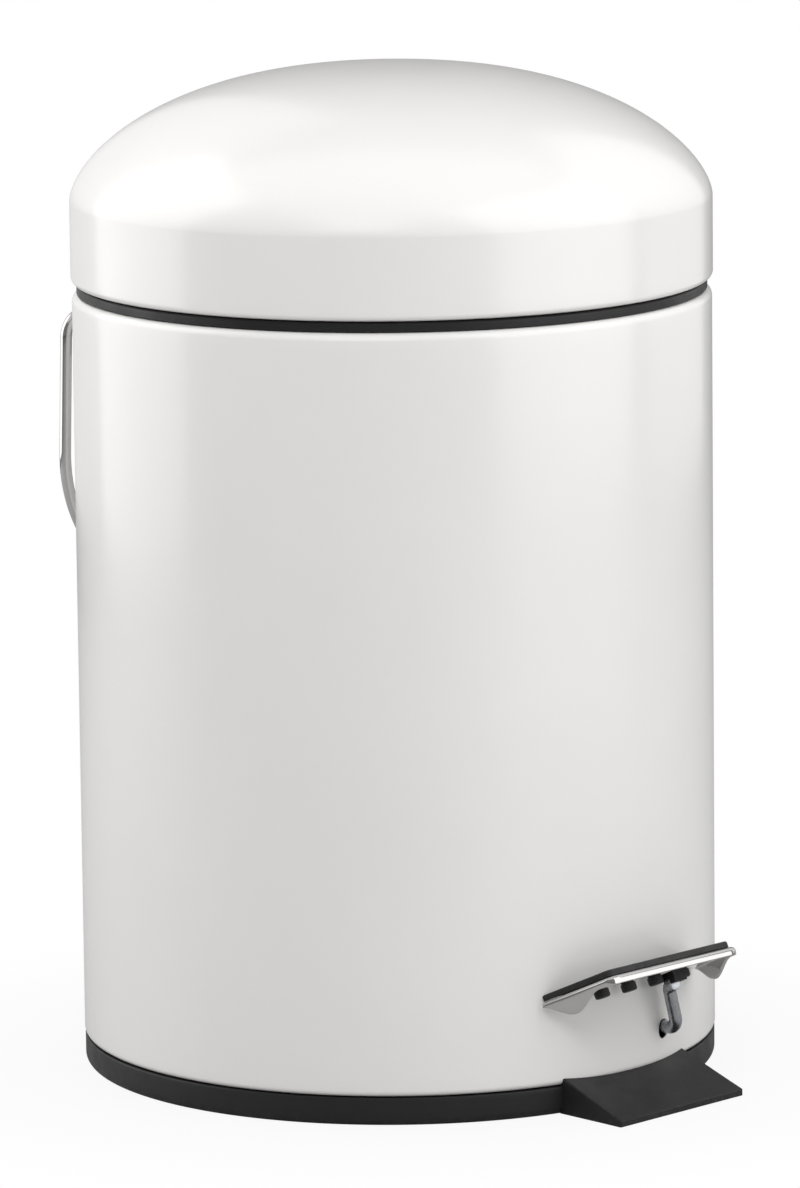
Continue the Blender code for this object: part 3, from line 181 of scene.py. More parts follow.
class Finish:
    # a Principled material with short calls for the nodes that feed it
    def __init__(self, name, colour, roughness, metallic=0.0, **sockets):
        self.material = bpy.data.materials.new(name)
        self.material.use_nodes = True
        self.tree = self.material.node_tree
        self.shader = self.tree.nodes["Principled BSDF"]
        self.shader.inputs["Base Color"].default_value = (*colour, 1)
        self.shader.inputs["Roughness"].default_value = roughness
        self.shader.inputs["Metallic"].default_value = metallic
        for socket, value in sockets.items():
            self.shader.inputs[socket.replace("_", " ")].default_value = value
        self.coords = self.tree.nodes.new("ShaderNodeTexCoord")

    def noise(self, scale, detail, stretch=None, roughness=0.5):
        node = addNode(self.tree, "ShaderNodeTexNoise", Scale=scale, Detail=detail, Roughness=roughness)
        source = self.coords.outputs["Object"]
        if stretch:
            mapping = addNode(self.tree, "ShaderNodeMapping", Scale=stretch)
            self.tree.links.new(source, mapping.inputs["Vector"])
            source = mapping.outputs["Vector"]
        self.tree.links.new(source, node.inputs["Vector"])
        return node.outputs["Fac"]

    def range(self, source, low, high, fromLow=0.3, fromHigh=0.7):
        node = addNode(self.tree, "ShaderNodeMapRange", From_Min=fromLow, From_Max=fromHigh, To_Min=low,
                       To_Max=high)
        self.tree.links.new(source, node.inputs["Value"])
        return node.outputs["Result"]

    def maths(self, kind, one, two):
        node = self.tree.nodes.new("ShaderNodeMath")
        node.operation = kind
        for socket, value in zip(node.inputs, (one, two)):
            if isinstance(value, (int, float)):
                socket.default_value = value
            else:
                self.tree.links.new(value, socket)
        return node.outputs[0]

    def blend(self, share, dark, light):
        node = self.tree.nodes.new("ShaderNodeMix")
        node.data_type = "RGBA"
        self.tree.links.new(share, node.inputs[0])
        for index, value in ((6, dark), (7, light)):
            if isinstance(value, tuple):
                node.inputs[index].default_value = (*value, 1)
            else:
                self.tree.links.new(value, node.inputs[index])
        return node.outputs[2]

    def height(self):
        # the Object coordinate along Z, in metres
        node = self.tree.nodes.new("ShaderNodeSeparateXYZ")
        self.tree.links.new(self.coords.outputs["Object"], node.inputs[0])
        return node.outputs["Z"]

    def bump(self, *layers):
        # layers of (height 0 to 1, depth in metres), one on top of the other
        last = None
        for source, depth in layers:
            node = addNode(self.tree, "ShaderNodeBump", Strength=1.0, Distance=depth)
            self.tree.links.new(source, node.inputs["Height"])
            if last:
                self.tree.links.new(last, node.inputs["Normal"])
            last = node.outputs["Normal"]
        self.tree.links.new(last, self.shader.inputs["Normal"])

    def feed(self, socket, source):
        self.tree.links.new(source, self.shader.inputs[socket])


looks = {
    # shades are shares of the colour, or colours of their own; a noise is waves to the metre, detail, stretch
    # and roughness; a bump is a noise and its depth in metres
    "whiteEnamel": {
        "colour": (0.795, 0.788, 0.774), "shades": ((0.772, 0.766, 0.753), 1), "clouds": (14, 3),
        "even": 0.3, "roughness": (0.30, 0.36), "wear": (90, 4), "metallic": 0,
        "bumps": (((260, 1), 0.0000022), ((1560, 2), 0.00000033)),
        "sockets": {"Coat_Weight": 0.75, "Coat_Roughness": 0.17, "Coat_IOR": 1.5}},
    "blackPlastic": {
        "colour": (0.0105, 0.0105, 0.011), "shades": (1, 1.25), "clouds": (38, 4),
        "even": 0.5, "roughness": (0.42, 0.56), "wear": (120, 5), "metallic": 0,
        "bumps": (((2600, 3), 0.000012), ((60, 2), 0.00004)),
        "sockets": {"Specular_IOR_Level": 0.34},
        "scuffHeight": 0.0030, "scuffs": (420, 5, None, 0.65), "worn": (0.034, 0.033, 0.032)},
    "greyPlastic": {
        "colour": (0.060, 0.061, 0.063), "shades": (0.85, 1.15), "clouds": (30, 3, (1, 1, 0.12)),
        "even": 0.4, "roughness": (0.34, 0.48), "wear": (150, 4), "metallic": 0,
        "bumps": (((1500, 3), 0.000008), ((25, 2), 0.00008)),
        "sockets": {"Specular_IOR_Level": 0.5}},
    "blackRubber": {
        "colour": (0.016, 0.016, 0.016), "shades": (0.8, 1.4), "clouds": (220, 5),
        "even": 0.6, "roughness": (0.55, 0.72), "wear": (500, 4), "metallic": 0,
        "bumps": (((3200, 3), 0.000018), ((240, 3), 0.00003)),
        "sockets": {"Specular_IOR_Level": 0.4, "Sheen_Weight": 0.08}},
    "chromePlate": {
        "colour": (0.56, 0.555, 0.55), "shades": (0.95, 1), "clouds": (40, 3),
        "even": 0.07, "roughness": (0.045, 0.10), "wear": (60, 5, (1, 1, 4), 0.6), "metallic": 1,
        "bumps": (((180, 2), 0.000006), ((2400, 3), 0.0000006)), "sockets": {}},
    "zincPlate": {
        "colour": (0.40, 0.41, 0.42), "shades": ((0.33, 0.35, 0.38), 1), "clouds": (260, 4, None, 0.6),
        "even": 0.3, "roughness": (0.20, 0.36), "wear": (480, 4), "metallic": 1,
        "bumps": (((900, 4), 0.000012), ((160, 2), 0.00003)), "sockets": {}},
    "naturalNylon": {
        "colour": (0.70, 0.68, 0.61), "shades": (0.93, 1), "clouds": (80, 4),
        "even": 0.45, "roughness": (0.38, 0.52), "wear": (400, 4), "metallic": 0,
        "bumps": (((1800, 3), 0.00001),),
        "sockets": {"Subsurface_Weight": 0.25, "Subsurface_Scale": 0.003}},
}


def clouded(name):
    # colour between two shades, roughness and bumps, each from noise; scuffs show only close to the floor
    look = looks[name]
    made = Finish(name, look["colour"], look["even"], look["metallic"], **look["sockets"])
    dark, light = [shade if isinstance(shade, tuple) else tuple(v * shade for v in look["colour"])
                   for shade in look["shades"]]
    base = made.blend(made.range(made.noise(*look["clouds"]), 0, 1), dark, light)
    if "scuffs" in look:
        low = made.range(made.height(), 1, 0, 0.0, look["scuffHeight"])
        rub = made.range(made.noise(*look["scuffs"]), 0, 1, 0.50, 0.66)
        base = made.blend(made.maths("MULTIPLY", low, rub), base, look["worn"])
    made.feed("Base Color", base)
    made.feed("Roughness", made.range(made.noise(*look["wear"]), *look["roughness"]))
    made.bump(*[(made.noise(*waves), depth) for waves, depth in look["bumps"]])
    return made.material


floorLook = {"near": 0.11, "far": 0.20, "glow": 1.0, "least": 0.92}   # metres from the axis, shares


def paleFloor(near, far, glow, least):
    # matt white that glows evenly beyond the bin's own shadow, so it meets the backdrop without a line
    made = Finish("paleFloor", (0.46, 0.46, 0.46), 0.6, Specular_IOR_Level=0.2)
    made.bump((made.noise(240, 2), 0.00001))
    tree = made.tree
    reach = tree.nodes.new("ShaderNodeVectorMath")
    reach.operation = "LENGTH"
    tree.links.new(made.coords.outputs["Object"], reach.inputs[0])
    shine = addNode(tree, "ShaderNodeEmission", Color=(1, 1, 1, 1), Strength=glow)
    path = addNode(tree, "ShaderNodeLightPath")
    beyond = made.range(reach.outputs["Value"], least, 1, near, far)
    share = made.maths("MULTIPLY", beyond, path.outputs["Is Camera Ray"])
    mixShaders(tree, share, made.shader.outputs[0], shine.outputs[0],
               tree.nodes["Material Output"].inputs["Surface"])
    return made.material


print("materials")
enamel, black, grey, rubber, chrome, zinc, nylon = [clouded(name) for name in looks]


# surfaces

def line(start, end, step=0.004):
    # evenly spaced points from start to end in the plane of the outline
    start, end = np.array(start, float), np.array(end, float)
    count = max(1, int(math.ceil(np.linalg.norm(end - start) / step)))
    share = np.linspace(0, 1, count + 1)[:, None]
    return start + (end - start) * share


def bend(centre, radius, fromAngle, toAngle, count=6):
    # centre + radius (cos a, sin a), a in degrees
    angle = np.radians(np.linspace(fromAngle, toAngle, count + 1))
    return np.array(centre, float) + radius * np.stack([np.cos(angle), np.sin(angle)], 1)


def chain(*runs):
    # runs of points end to end, with points that fall on one another left out
    points = np.concatenate([np.atleast_2d(np.array(run, float)) for run in runs])
    step = np.linalg.norm(np.diff(points, axis=0), axis=1)
    return points[np.concatenate([[True], step > 1e-7])]


def lengthAlong(points):
    step = np.linalg.norm(np.diff(points, axis=0), axis=1)
    return np.concatenate([[0], np.cumsum(step)])


def turned(profile, columns, centre=(0, 0)):
    # (r, z) carried round Z: x = cx + r sin(a), y = cy - r cos(a), a from -180 to 180 degrees
    angle = np.linspace(-math.pi, math.pi, columns + 1)
    radius, height = profile[:, :1], profile[:, 1:]
    points = np.stack([centre[0] + radius * np.sin(angle), centre[1] - radius * np.cos(angle),
                       height + 0 * angle], 2)
    across = lengthAlong(profile)[:, None] + 0 * angle
    return points, np.stack([across, 0 * across + angle * radius.max()], 2)


def sheet(points, flat=None, keep=None):
    # one quad for each cell of a grid of points; keep is a mask of cells
    rows, columns = points.shape[:2]
    a, b = np.meshgrid(np.arange(rows - 1), np.arange(columns - 1), indexing="ij")
    if keep is not None:
        a, b = a[keep], b[keep]
    quads = np.stack([a * columns + b, (a + 1) * columns + b, (a + 1) * columns + b + 1,
                      a * columns + b + 1], -1).reshape(-1, 4)
    if flat is None:
        flat = np.stack(np.meshgrid(np.arange(rows), np.arange(columns), indexing="ij"), 2) * 0.001
    return points.reshape(-1, 3), quads, flat.reshape(-1, 2)


def build(name, sheets, material, body, replaced=(), sharp=38, weld=2e-6, outward=True):
    # sheets joined into one mesh, doubles merged, faces turned out, soft shading with hard edges kept
    starts = np.cumsum([0] + [len(s[0]) for s in sheets])
    points = np.concatenate([s[0] for s in sheets])
    quads = np.concatenate([s[1] + start for s, start in zip(sheets, starts)])
    flat = np.concatenate([s[2] for s in sheets])
    mesh = bpy.data.meshes.new(name)
    mesh.vertices.add(len(points))
    mesh.vertices.foreach_set("co", points.astype(np.float32).ravel())
    mesh.loops.add(quads.size)
    mesh.loops.foreach_set("vertex_index", quads.astype(np.int32).ravel())
    mesh.polygons.add(len(quads))
    mesh.polygons.foreach_set("loop_start", np.arange(0, quads.size, 4, dtype=np.int32))
    layer = mesh.uv_layers.new(name="flat")
    layer.data.foreach_set("uv", flat[quads.ravel()].astype(np.float32).ravel())
    mesh.update(calc_edges=True)
    work = bmesh.new()
    work.from_mesh(mesh)
    bmesh.ops.remove_doubles(work, verts=work.verts, dist=weld)
    if outward:
        bmesh.ops.recalc_face_normals(work, faces=work.faces)
    work.to_mesh(mesh)
    work.free()
    mesh.shade_smooth()
    mesh.set_sharp_from_angle(angle=math.radians(sharp))
    return settle(name, mesh, material, body, replaced)


def settle(name, mesh, material, body, replaced=()):
    mesh.materials.clear()
    mesh.materials.append(material)
    piece = bpy.data.objects.new(name, mesh)
    bpy.context.scene.collection.objects.link(piece)
    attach(piece, body)
    if replaced:
        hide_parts(*replaced)
    return piece


def carve(piece, tools):
    # cuts each tool out of a piece, then applies the cut and throws the tools away
    for tool in tools:
        cut = piece.modifiers.new("cut", "BOOLEAN")
        cut.object = tool
        cut.operation = "DIFFERENCE"
        cut.solver = "EXACT"
    applyModifiers(piece)
    for tool in tools:
        bpy.data.objects.remove(tool, do_unlink=True)


def applyModifiers(piece):
    bpy.context.view_layer.update()
    graph = bpy.context.evaluated_depsgraph_get()
    mesh = bpy.data.meshes.new_from_object(piece.evaluated_get(graph), preserve_all_data_layers=True,
                                           depsgraph=graph)
    piece.modifiers.clear()
    piece.data = mesh


def finishedCopy(node, name, material, body, round=0.0003, sharp=35):
    # the CAD piece itself, merged, its flat faces joined, its edges broken with a small round
    mesh = frame["nodes"][node].data.copy()
    work = bmesh.new()
    work.from_mesh(mesh)
    bmesh.ops.remove_doubles(work, verts=work.verts, dist=1e-6)
    bmesh.ops.dissolve_limit(work, angle_limit=math.radians(0.5), verts=work.verts, edges=work.edges)
    work.to_mesh(mesh)
    work.free()
    mesh.shade_smooth()
    mesh.set_sharp_from_angle(angle=math.radians(sharp))
    piece = settle(name, mesh, material, body, (node,))
    soften = piece.modifiers.new("brokenEdges", "BEVEL")
    soften.width = round
    soften.segments = 3
    soften.limit_method = "ANGLE"
    soften.angle_limit = math.radians(sharp)
    soften.use_clamp_overlap = True
    soften.harden_normals = True
    return piece


def turnTo(start, direction):
    # matrix that takes +Z to a direction and the origin to a point
    turn = Vector((0, 0, 1)).rotation_difference(Vector(direction)).to_matrix().to_4x4()
    return Matrix.Translation(Vector(start)) @ turn


def moved(points, matrix):
    turn = np.array(matrix)
    return points @ turn[:3, :3].T + turn[:3, 3]


def cornered(corners, radius, step=0.004, count=8):
    # straight runs joined by arcs: at a corner with half angle h the arc is radius / tan(h) from it
    corners = [np.array(c, float) for c in corners]
    radii = radius if isinstance(radius, (list, tuple)) else [radius] * (len(corners) - 2)
    runs, last = [], corners[0]
    for before, corner, after, r in zip(corners, corners[1:], corners[2:], radii):
        one = (before - corner) / np.linalg.norm(before - corner)
        two = (after - corner) / np.linalg.norm(after - corner)
        half = math.acos(np.clip(one @ two, -1, 1)) / 2
        centre = corner + (one + two) / np.linalg.norm(one + two) * r / math.sin(half)
        first = corner + one * r / math.tan(half) - centre
        final = corner + two * r / math.tan(half) - centre
        sweep = math.acos(np.clip(first @ final / r ** 2, -1, 1))
        share = np.linspace(0, 1, count + 1)[:, None]
        arc = centre + (np.sin((1 - share) * sweep) * first + np.sin(share * sweep) * final) / math.sin(sweep)
        runs += [line(last, arc[0], step), arc]
        last = arc[-1]
    runs.append(line(last, corners[-1], step))
    return chain(*runs)


def wire(path, radius, sides=28, ends=("cut", "cut"), chamfer=0.00025):
    # a circle carried along a path: p + r (n cos a + b sin a), with its ends closed by smaller circles
    tangent = np.gradient(path, axis=0)
    tangent /= np.linalg.norm(tangent, axis=1)[:, None]
    spare = np.eye(3)[np.argmin(np.abs(tangent).max(0))]
    normal = np.cross(tangent, spare)
    normal /= np.linalg.norm(normal, axis=1)[:, None]
    other = np.cross(tangent, normal)
    size = np.ones(len(path)) * radius
    centres = path.copy()
    for end, place, outward in ((ends[0], 0, -1), (ends[1], -1, 1)):
        if end == "dome":
            angle = np.radians(np.linspace(10, 90, 7))
            reach, rings = radius * np.sin(angle), radius * np.cos(angle)
        else:
            reach = np.array([chamfer * 0.6, chamfer, chamfer])
            rings = np.array([radius - chamfer * 0.25, radius - chamfer, 0])
        extra = path[place] + outward * tangent[place] * reach[:, None]
        frames = [np.repeat(v[place][None], len(reach), 0) for v in (normal, other)]
        centres, size, normal, other = [
            np.concatenate([new[::-1], old] if outward < 0 else [old, new])
            for old, new in ((centres, extra), (size, rings), (normal, frames[0]), (other, frames[1]))]
    angle = np.linspace(0, 2 * math.pi, sides + 1)
    ring = normal[:, None] * np.cos(angle)[None, :, None] + other[:, None] * np.sin(angle)[None, :, None]
    points = centres[:, None] + size[:, None, None] * ring
    flat = np.stack(np.broadcast_arrays(lengthAlong(centres)[:, None], angle * radius), 2)
    return sheet(points, flat)


def roundedBox(low, high, radius, steps=3, inner=2):
    # q + r n: q is the nearest point of a box smaller by r all round, n points from q to the cube face
    low, high = np.array(low, float), np.array(high, float)
    middle, half = (low + high) / 2, (high - low) / 2
    radius = np.minimum(radius, half.min() * 0.999)
    edge = radius * np.tan(np.radians(np.linspace(0, 45, steps + 1)))
    rows = [np.concatenate([-(h - radius) - edge[::-1],
                            np.linspace(-(h - radius), h - radius, inner + 1)[1:-1],
                            h - radius + edge]) for h in half]
    sheets = []
    for axis in range(3):
        one, two = (axis + 1) % 3, (axis + 2) % 3
        for side in (-1, 1):
            a, b = np.meshgrid(rows[one], rows[two], indexing="ij")
            points = np.zeros(a.shape + (3,))
            points[..., axis] = side * half[axis]
            points[..., one], points[..., two] = a, b
            core = np.clip(points, -(half - radius), half - radius)
            away = points - core
            away /= np.linalg.norm(away, axis=2)[..., None]
            sheets.append(sheet(middle + core + away * radius))
    return sheets


def warped(sheets, change):
    return [(change(points), quads, flat) for points, quads, flat in sheets]


def cutter(sheets):
    # a body for carve to take away
    return build("cutter", sheets, enamel, "shell")


# shell

shellSizes = {
    "wall": 0.0008,
    "topRoll": 0.0028,
    "footRoll": 0.0020,
    "lip": 0.0005,
    "flange": 0.0040,
    "columns": 384,
    "seamRise": 0.00010,     # welded seam down the back
    "seamWidth": 0.0022,
    "holeRadius": 0.0025,
    "holeSide": 0.0164,      # sideways from the middle
    "holeLow": 0.01977,
    "holeHigh": 0.02105,
    "holeRound": 0.00035,
    "patchColumns": (197, 207),
    "patchHeights": (0.0130, 0.0280),
}


def shellWall(sizes):
    # outer and inner outline turned round Z, x = r sin(a), y = -r cos(a), a patch left out for the hole;
    # outline from the foot flange over the heel's arc, straight up and round the top roll to the lip
    low, high = boxOf("body_shell")
    radius, foot, top, wall = high[0], low[2], high[2], sizes["wall"]
    roll, footRoll = sizes["topRoll"], sizes["footRoll"]
    rim = (radius - roll, top - roll)
    heel = (radius - footRoll, foot + footRoll)
    patchLow, patchHigh = sizes["patchHeights"]
    outer = chain([(radius - sizes["flange"], foot)], bend(heel, footRoll, -90, 0, 8),
                  line(heel + np.array([footRoll, 0]), (radius, patchLow), 0.002),
                  np.stack([np.full(9, radius), np.linspace(patchLow, patchHigh, 9)], 1),
                  line((radius, patchHigh), (radius, rim[1]), 0.006), bend(rim, roll, 0, 90, 12),
                  [(radius - roll - sizes["lip"], top)])
    inside = radius - wall
    inner = chain([(radius - roll - sizes["lip"], top - wall)], bend(rim, roll - wall, 90, 0, 8),
                  line((inside, rim[1]), (inside, patchHigh), 0.012),
                  np.stack([np.full(9, inside), np.linspace(patchHigh, patchLow, 9)], 1),
                  line((inside, patchLow), (inside, heel[1]), 0.002), bend(heel, footRoll - wall, 0, -90, 5),
                  [(radius - sizes["flange"], foot + wall)])
    first, last = sizes["patchColumns"]
    sheets = []
    for profile in (outer, inner):
        points, flat = turned(profile, sizes["columns"])
        if profile is outer:
            # the seam is a low bell-shaped ridge: rise exp(-(s / width)^2), s from the back of the wall
            angle = np.linspace(-math.pi, math.pi, sizes["columns"] + 1)
            s = (math.pi - np.abs(angle)) * radius
            straight = (profile[:, 0] > radius - 1e-6)[:, None]
            grow = 1 + straight * sizes["seamRise"] / radius * np.exp(-(s / sizes["seamWidth"]) ** 2)
            points[..., :2] *= grow[..., None]
        height = (profile[:-1, 1] + profile[1:, 1]) / 2
        inPatch = (height > patchLow) & (height < patchHigh) & (profile[:-1, 0] > inside - 1e-6)
        keep = np.ones((len(profile) - 1, sizes["columns"]), bool)
        keep[np.ix_(inPatch, np.arange(first, last))] = False
        sheets.append(sheet(points, flat, keep))
    lip = np.stack([outer[-1], inner[0]])
    hem = np.stack([inner[-1], outer[0]])
    for profile in (lip, hem):
        points, flat = turned(profile, sizes["columns"])
        sheets.append(sheet(points, flat))
    sheets += leverHole(sizes, radius, wall)
    return sheets


def leverHole(sizes, radius, wall):
    # rows from the patch's rectangle to the hole, p + (h - p) t^0.8 in (s, z) on the wall, then over a
    # quarter circle into it; s is the length round the wall and x = r sin(s / R), y = -r cos(s / R)
    first, last = sizes["patchColumns"]
    step = 2 * math.pi / sizes["columns"]
    across = (-math.pi + step * np.arange(first, last + 1)) * radius
    heights = np.linspace(*sizes["patchHeights"], 9)
    rectangle = np.concatenate([
        np.stack([across[:-1], np.full(len(across) - 1, heights[0])], 1),
        np.stack([np.full(8, across[-1]), heights[:-1]], 1),
        np.stack([across[:0:-1], np.full(len(across) - 1, heights[-1])], 1),
        np.stack([np.full(8, across[0]), heights[:0:-1]], 1)])
    rectangle = np.concatenate([rectangle, rectangle[:1]])
    spine = np.stack([np.full(len(rectangle), math.asin(sizes["holeSide"] / radius) * radius),
                      np.clip(rectangle[:, 1], sizes["holeLow"], sizes["holeHigh"])], 1)
    away = rectangle - spine
    away /= np.linalg.norm(away, axis=1)[:, None]

    def onWall(plane, depth):
        angle, r = plane[..., 0] / radius, radius - depth
        return np.stack([r * np.sin(angle), -r * np.cos(angle), plane[..., 1]], -1)

    hole, rounding = sizes["holeRadius"], sizes["holeRound"]
    rows = []
    share = np.linspace(0, 1, 7)[:, None, None] ** 0.8
    start = spine + away * (hole + rounding)
    for depth, order in ((0.0, 1), (wall, -1)):
        plane = rectangle + (start - rectangle) * share
        rows.append(onWall(plane, depth)[::order])
    angles = np.radians(np.linspace(0, 90, 5))
    edge = [onWall(spine + away * (hole + rounding * (1 - math.sin(a))), rounding * (1 - math.cos(a)))
            for a in angles]
    edge += [onWall(spine + away * (hole + rounding * (1 - math.cos(a))),
                    wall - rounding * (1 - math.sin(a))) for a in angles]
    return [sheet(rows[0]), sheet(np.stack(edge)), sheet(rows[1])]


print("shell")
build("shellWall", shellWall(shellSizes), enamel, "shell", ("body_shell",), sharp=50)


# lid

lidSizes = {
    "sheet": 0.0008,
    "roll": 0.0020,
    "lip": 0.0008,
    "skirt": 0.0261,
    "sideways": 2.351,      # exponents of the dome's superellipse
    "upwards": 1.607,
    "columns": 384,
    "domeRows": 70,
}


def lidShell(sizes):
    # skirt, then r = R cos(a)^(2/m), z = shoulder + h sin(a)^(2/n), a from 0 to 90 degrees
    low, high = boxOf("lid_shell")
    radius, bottom, top, wall = high[0], low[2], high[2], sizes["sheet"]
    shoulder = bottom + sizes["skirt"]
    roll = (radius - sizes["roll"], bottom + sizes["roll"])
    a = np.linspace(0, 1, sizes["domeRows"] + 1) ** 1.4 * math.pi / 2
    across = np.clip(np.cos(a), 0, 1) ** (2 / sizes["sideways"])
    across[-1] = 0
    up = np.sin(a) ** (2 / sizes["upwards"])
    dome = np.stack([radius * across, shoulder + (top - shoulder) * up], 1)
    hollow = np.stack([(radius - wall) * across, shoulder + (top - wall - shoulder) * up], 1)[::-1]
    lip = radius - sizes["roll"] - sizes["lip"]
    outer = chain([(lip, bottom)], bend(roll, sizes["roll"], -90, 0, 12),
                  line((radius, roll[1]), (radius, shoulder), 0.004), dome)
    inner = chain(hollow, line((radius - wall, shoulder), (radius - wall, roll[1]), 0.006),
                  bend(roll, sizes["roll"] - wall, 0, -90, 8), [(lip, bottom + wall), (lip, bottom)])
    return [sheet(*turned(profile, sizes["columns"])) for profile in (outer, inner)]


print("lid")
build("lidDome", lidShell(lidSizes), enamel, "lid", ("lid_shell",), sharp=50)


# rim ring

ringSizes = {"round": 0.0012, "skirtWall": 0.0020, "deck": 0.0025, "recess": 0.0868, "ledge": 0.0840,
             "flange": 0.0030, "ledgeDrop": 0.0021, "skirtOutside": 0.0989, "gateHalf": 0.0118,
             "gateFront": 0.0871, "gateBack": 0.112, "gateHeights": (0.235, 0.262), "gateRound": 0.0006,
             "recessRound": 0.0005, "chamfer": 0.0003, "columns": 288}


def rimRing(sizes):
    # an outline of straight runs and quarter circles turned round Z: outer edge, deck, recess, ledge, skirt
    low, high = boxOf("rim_ring")
    outside, top, bottom = high[0], high[2], high[2] - sizes["flange"]
    ledge = top - sizes["ledgeDrop"]
    edge, small, chamfer = sizes["round"], sizes["recessRound"], sizes["chamfer"]
    skirt, under = sizes["skirtOutside"], ledge - sizes["deck"]
    profile = chain([(outside, bottom)], bend((outside - edge, top - edge), edge, 0, 90, 10),
                    line((outside - edge, top), (sizes["recess"] + small, top), 0.003),
                    bend((sizes["recess"] + small, top - small), small, 90, 180, 5),
                    [(sizes["recess"], ledge), (sizes["ledge"] + chamfer, ledge),
                     (sizes["ledge"], ledge - chamfer), (sizes["ledge"], under + chamfer),
                     (sizes["ledge"] + chamfer, under), (skirt - sizes["skirtWall"], under),
                     (skirt - sizes["skirtWall"], low[2]), (skirt, low[2]), (skirt, bottom),
                     (outside, bottom)])
    return [sheet(*turned(profile, sizes["columns"]))]


print("rim ring")
ring = build("rimRing", rimRing(ringSizes), black, "shell", ("rim_ring",))
gateLow, gateHigh = ringSizes["gateHeights"]
carve(ring, [cutter(roundedBox((-ringSizes["gateHalf"], ringSizes["gateFront"], gateLow),
                               (ringSizes["gateHalf"], ringSizes["gateBack"], gateHigh),
                               ringSizes["gateRound"]))])


# foot ring and toe wedge

footSizes = {"round": 0.0026, "collar": 0.0982, "collarWall": 0.0026, "floor": 0.0040, "bead": 0.0007,
             "beadLow": 0.0105, "beadHeight": 0.0014, "height": 0.0091, "topRound": 0.0004, "columns": 288,
             "counterbore": 0.0030, "counterboreDepth": 0.0022}
wedgeSizes = {"frontHalf": 0.02875, "rearHalf": 0.0280, "lip": 0.0020, "top": 0.0102, "shellFront": 0.1025,
              "rear": 0.0966, "edge": 0.0007, "dish": 0.0003}


def footRing(sizes):
    # an outline turned round Z: underside, bottom round, outer wall, top edge, collar with its bead, floor
    high = boxOf("base_moulding")[1]
    radius, rounding, top, lip = high[0], sizes["round"], sizes["height"], sizes["topRound"]
    collar, bead, floor = sizes["collar"], sizes["beadLow"], sizes["floor"]
    inside, beadTop = collar - sizes["collarWall"], bead + sizes["beadHeight"]
    profile = chain(line((0, 0), (radius - rounding, 0), 0.012),
                    bend((radius - rounding, rounding), rounding, -90, 0, 10),
                    line((radius, rounding), (radius, top - lip), 0.002),
                    bend((radius - lip, top - lip), lip, 0, 90, 3),
                    [(collar, top), (collar, bead), (collar + sizes["bead"], bead),
                     (collar, beadTop), (inside, beadTop), (inside, floor)],
                    line((inside, floor), (0, floor), 0.012))
    return [sheet(*turned(profile, sizes["columns"]))]


def toeWedge(sizes):
    # a rounded block, s from the rear (0) to the front (1): height falls from rear top to the lip as
    # top + (lip - top) s - dish sin(pi s) (1 - (x / half)^4), width grows in a line
    front = -boxOf("base_moulding")[0][1]
    slope = (sizes["top"] - sizes["lip"]) / (front - sizes["shellFront"])
    rearTop = sizes["top"] + slope * (sizes["shellFront"] - sizes["rear"])
    length, tall, half = front - sizes["rear"], rearTop, sizes["frontHalf"]
    block = roundedBox((-half, -length, 0), (half, 0, tall), sizes["edge"], 5, 14)

    def change(points):
        x, y, z = points[..., 0], points[..., 1], points[..., 2]
        s = np.clip(-y / length, 0, 1)
        width = sizes["rearHalf"] + (sizes["frontHalf"] - sizes["rearHalf"]) * s
        height = rearTop + (sizes["lip"] - rearTop) * s
        height = height - sizes["dish"] * np.sin(math.pi * s) * (1 - (x / half) ** 4)
        return np.stack([x * width / half, y - sizes["rear"], z * height / tall], -1)

    return warped(block, change)


print("foot")
foot = build("footRing", footRing(footSizes), black, "shell", ("base_moulding",))
bores = []
for node in ("base_screw_left", "base_screw_right"):
    low, high = boxOf(node)
    wide, deep = footSizes["counterbore"], footSizes["counterboreDepth"]
    outline = np.array([(0, -0.001), (wide, -0.001), (wide, deep), (0, deep)])
    bores.append(cutter([sheet(*turned(outline, 32, ((low + high) / 2)[:2]))]))
carve(foot, bores)
build("toeWedge", toeWedge(wedgeSizes), black, "shell", ())


# pedal: pressed plate, rubber tread, lever

pedalSizes = {
    "slope": 25.5,
    "rearHalf": 0.0365,
    "frontHalf": 0.0295,
    "length": 0.0260,        # along the slope
    "rearY": -0.0976,
    "rearHeight": 0.0373,
    "corner": 0.0045,
    "bend": 0.0014,
    "sheet": 0.0011,
    "brokenEdge": 0.00022,
    "tipDepth": 0.0015,      # from the top face down
    "frontDepth": 0.0029,
    "wingDepth": 0.0050,     # added where the wings are deepest
    "wing": (-0.05, 0.80),   # shares of the length
    "draft": 0.20,
}


def onPedal(side, forward, above):
    # pedal coordinates to the bin's: forward climbs the slope, above is square to the plate
    slope = math.radians(pedalSizes["slope"])
    side, forward, above = np.broadcast_arrays(side, forward, above)
    return np.stack([side, pedalSizes["rearY"] - forward * math.cos(slope) + above * math.sin(slope),
                     pedalSizes["rearHeight"] + forward * math.sin(slope) + above * math.cos(slope)], -1)


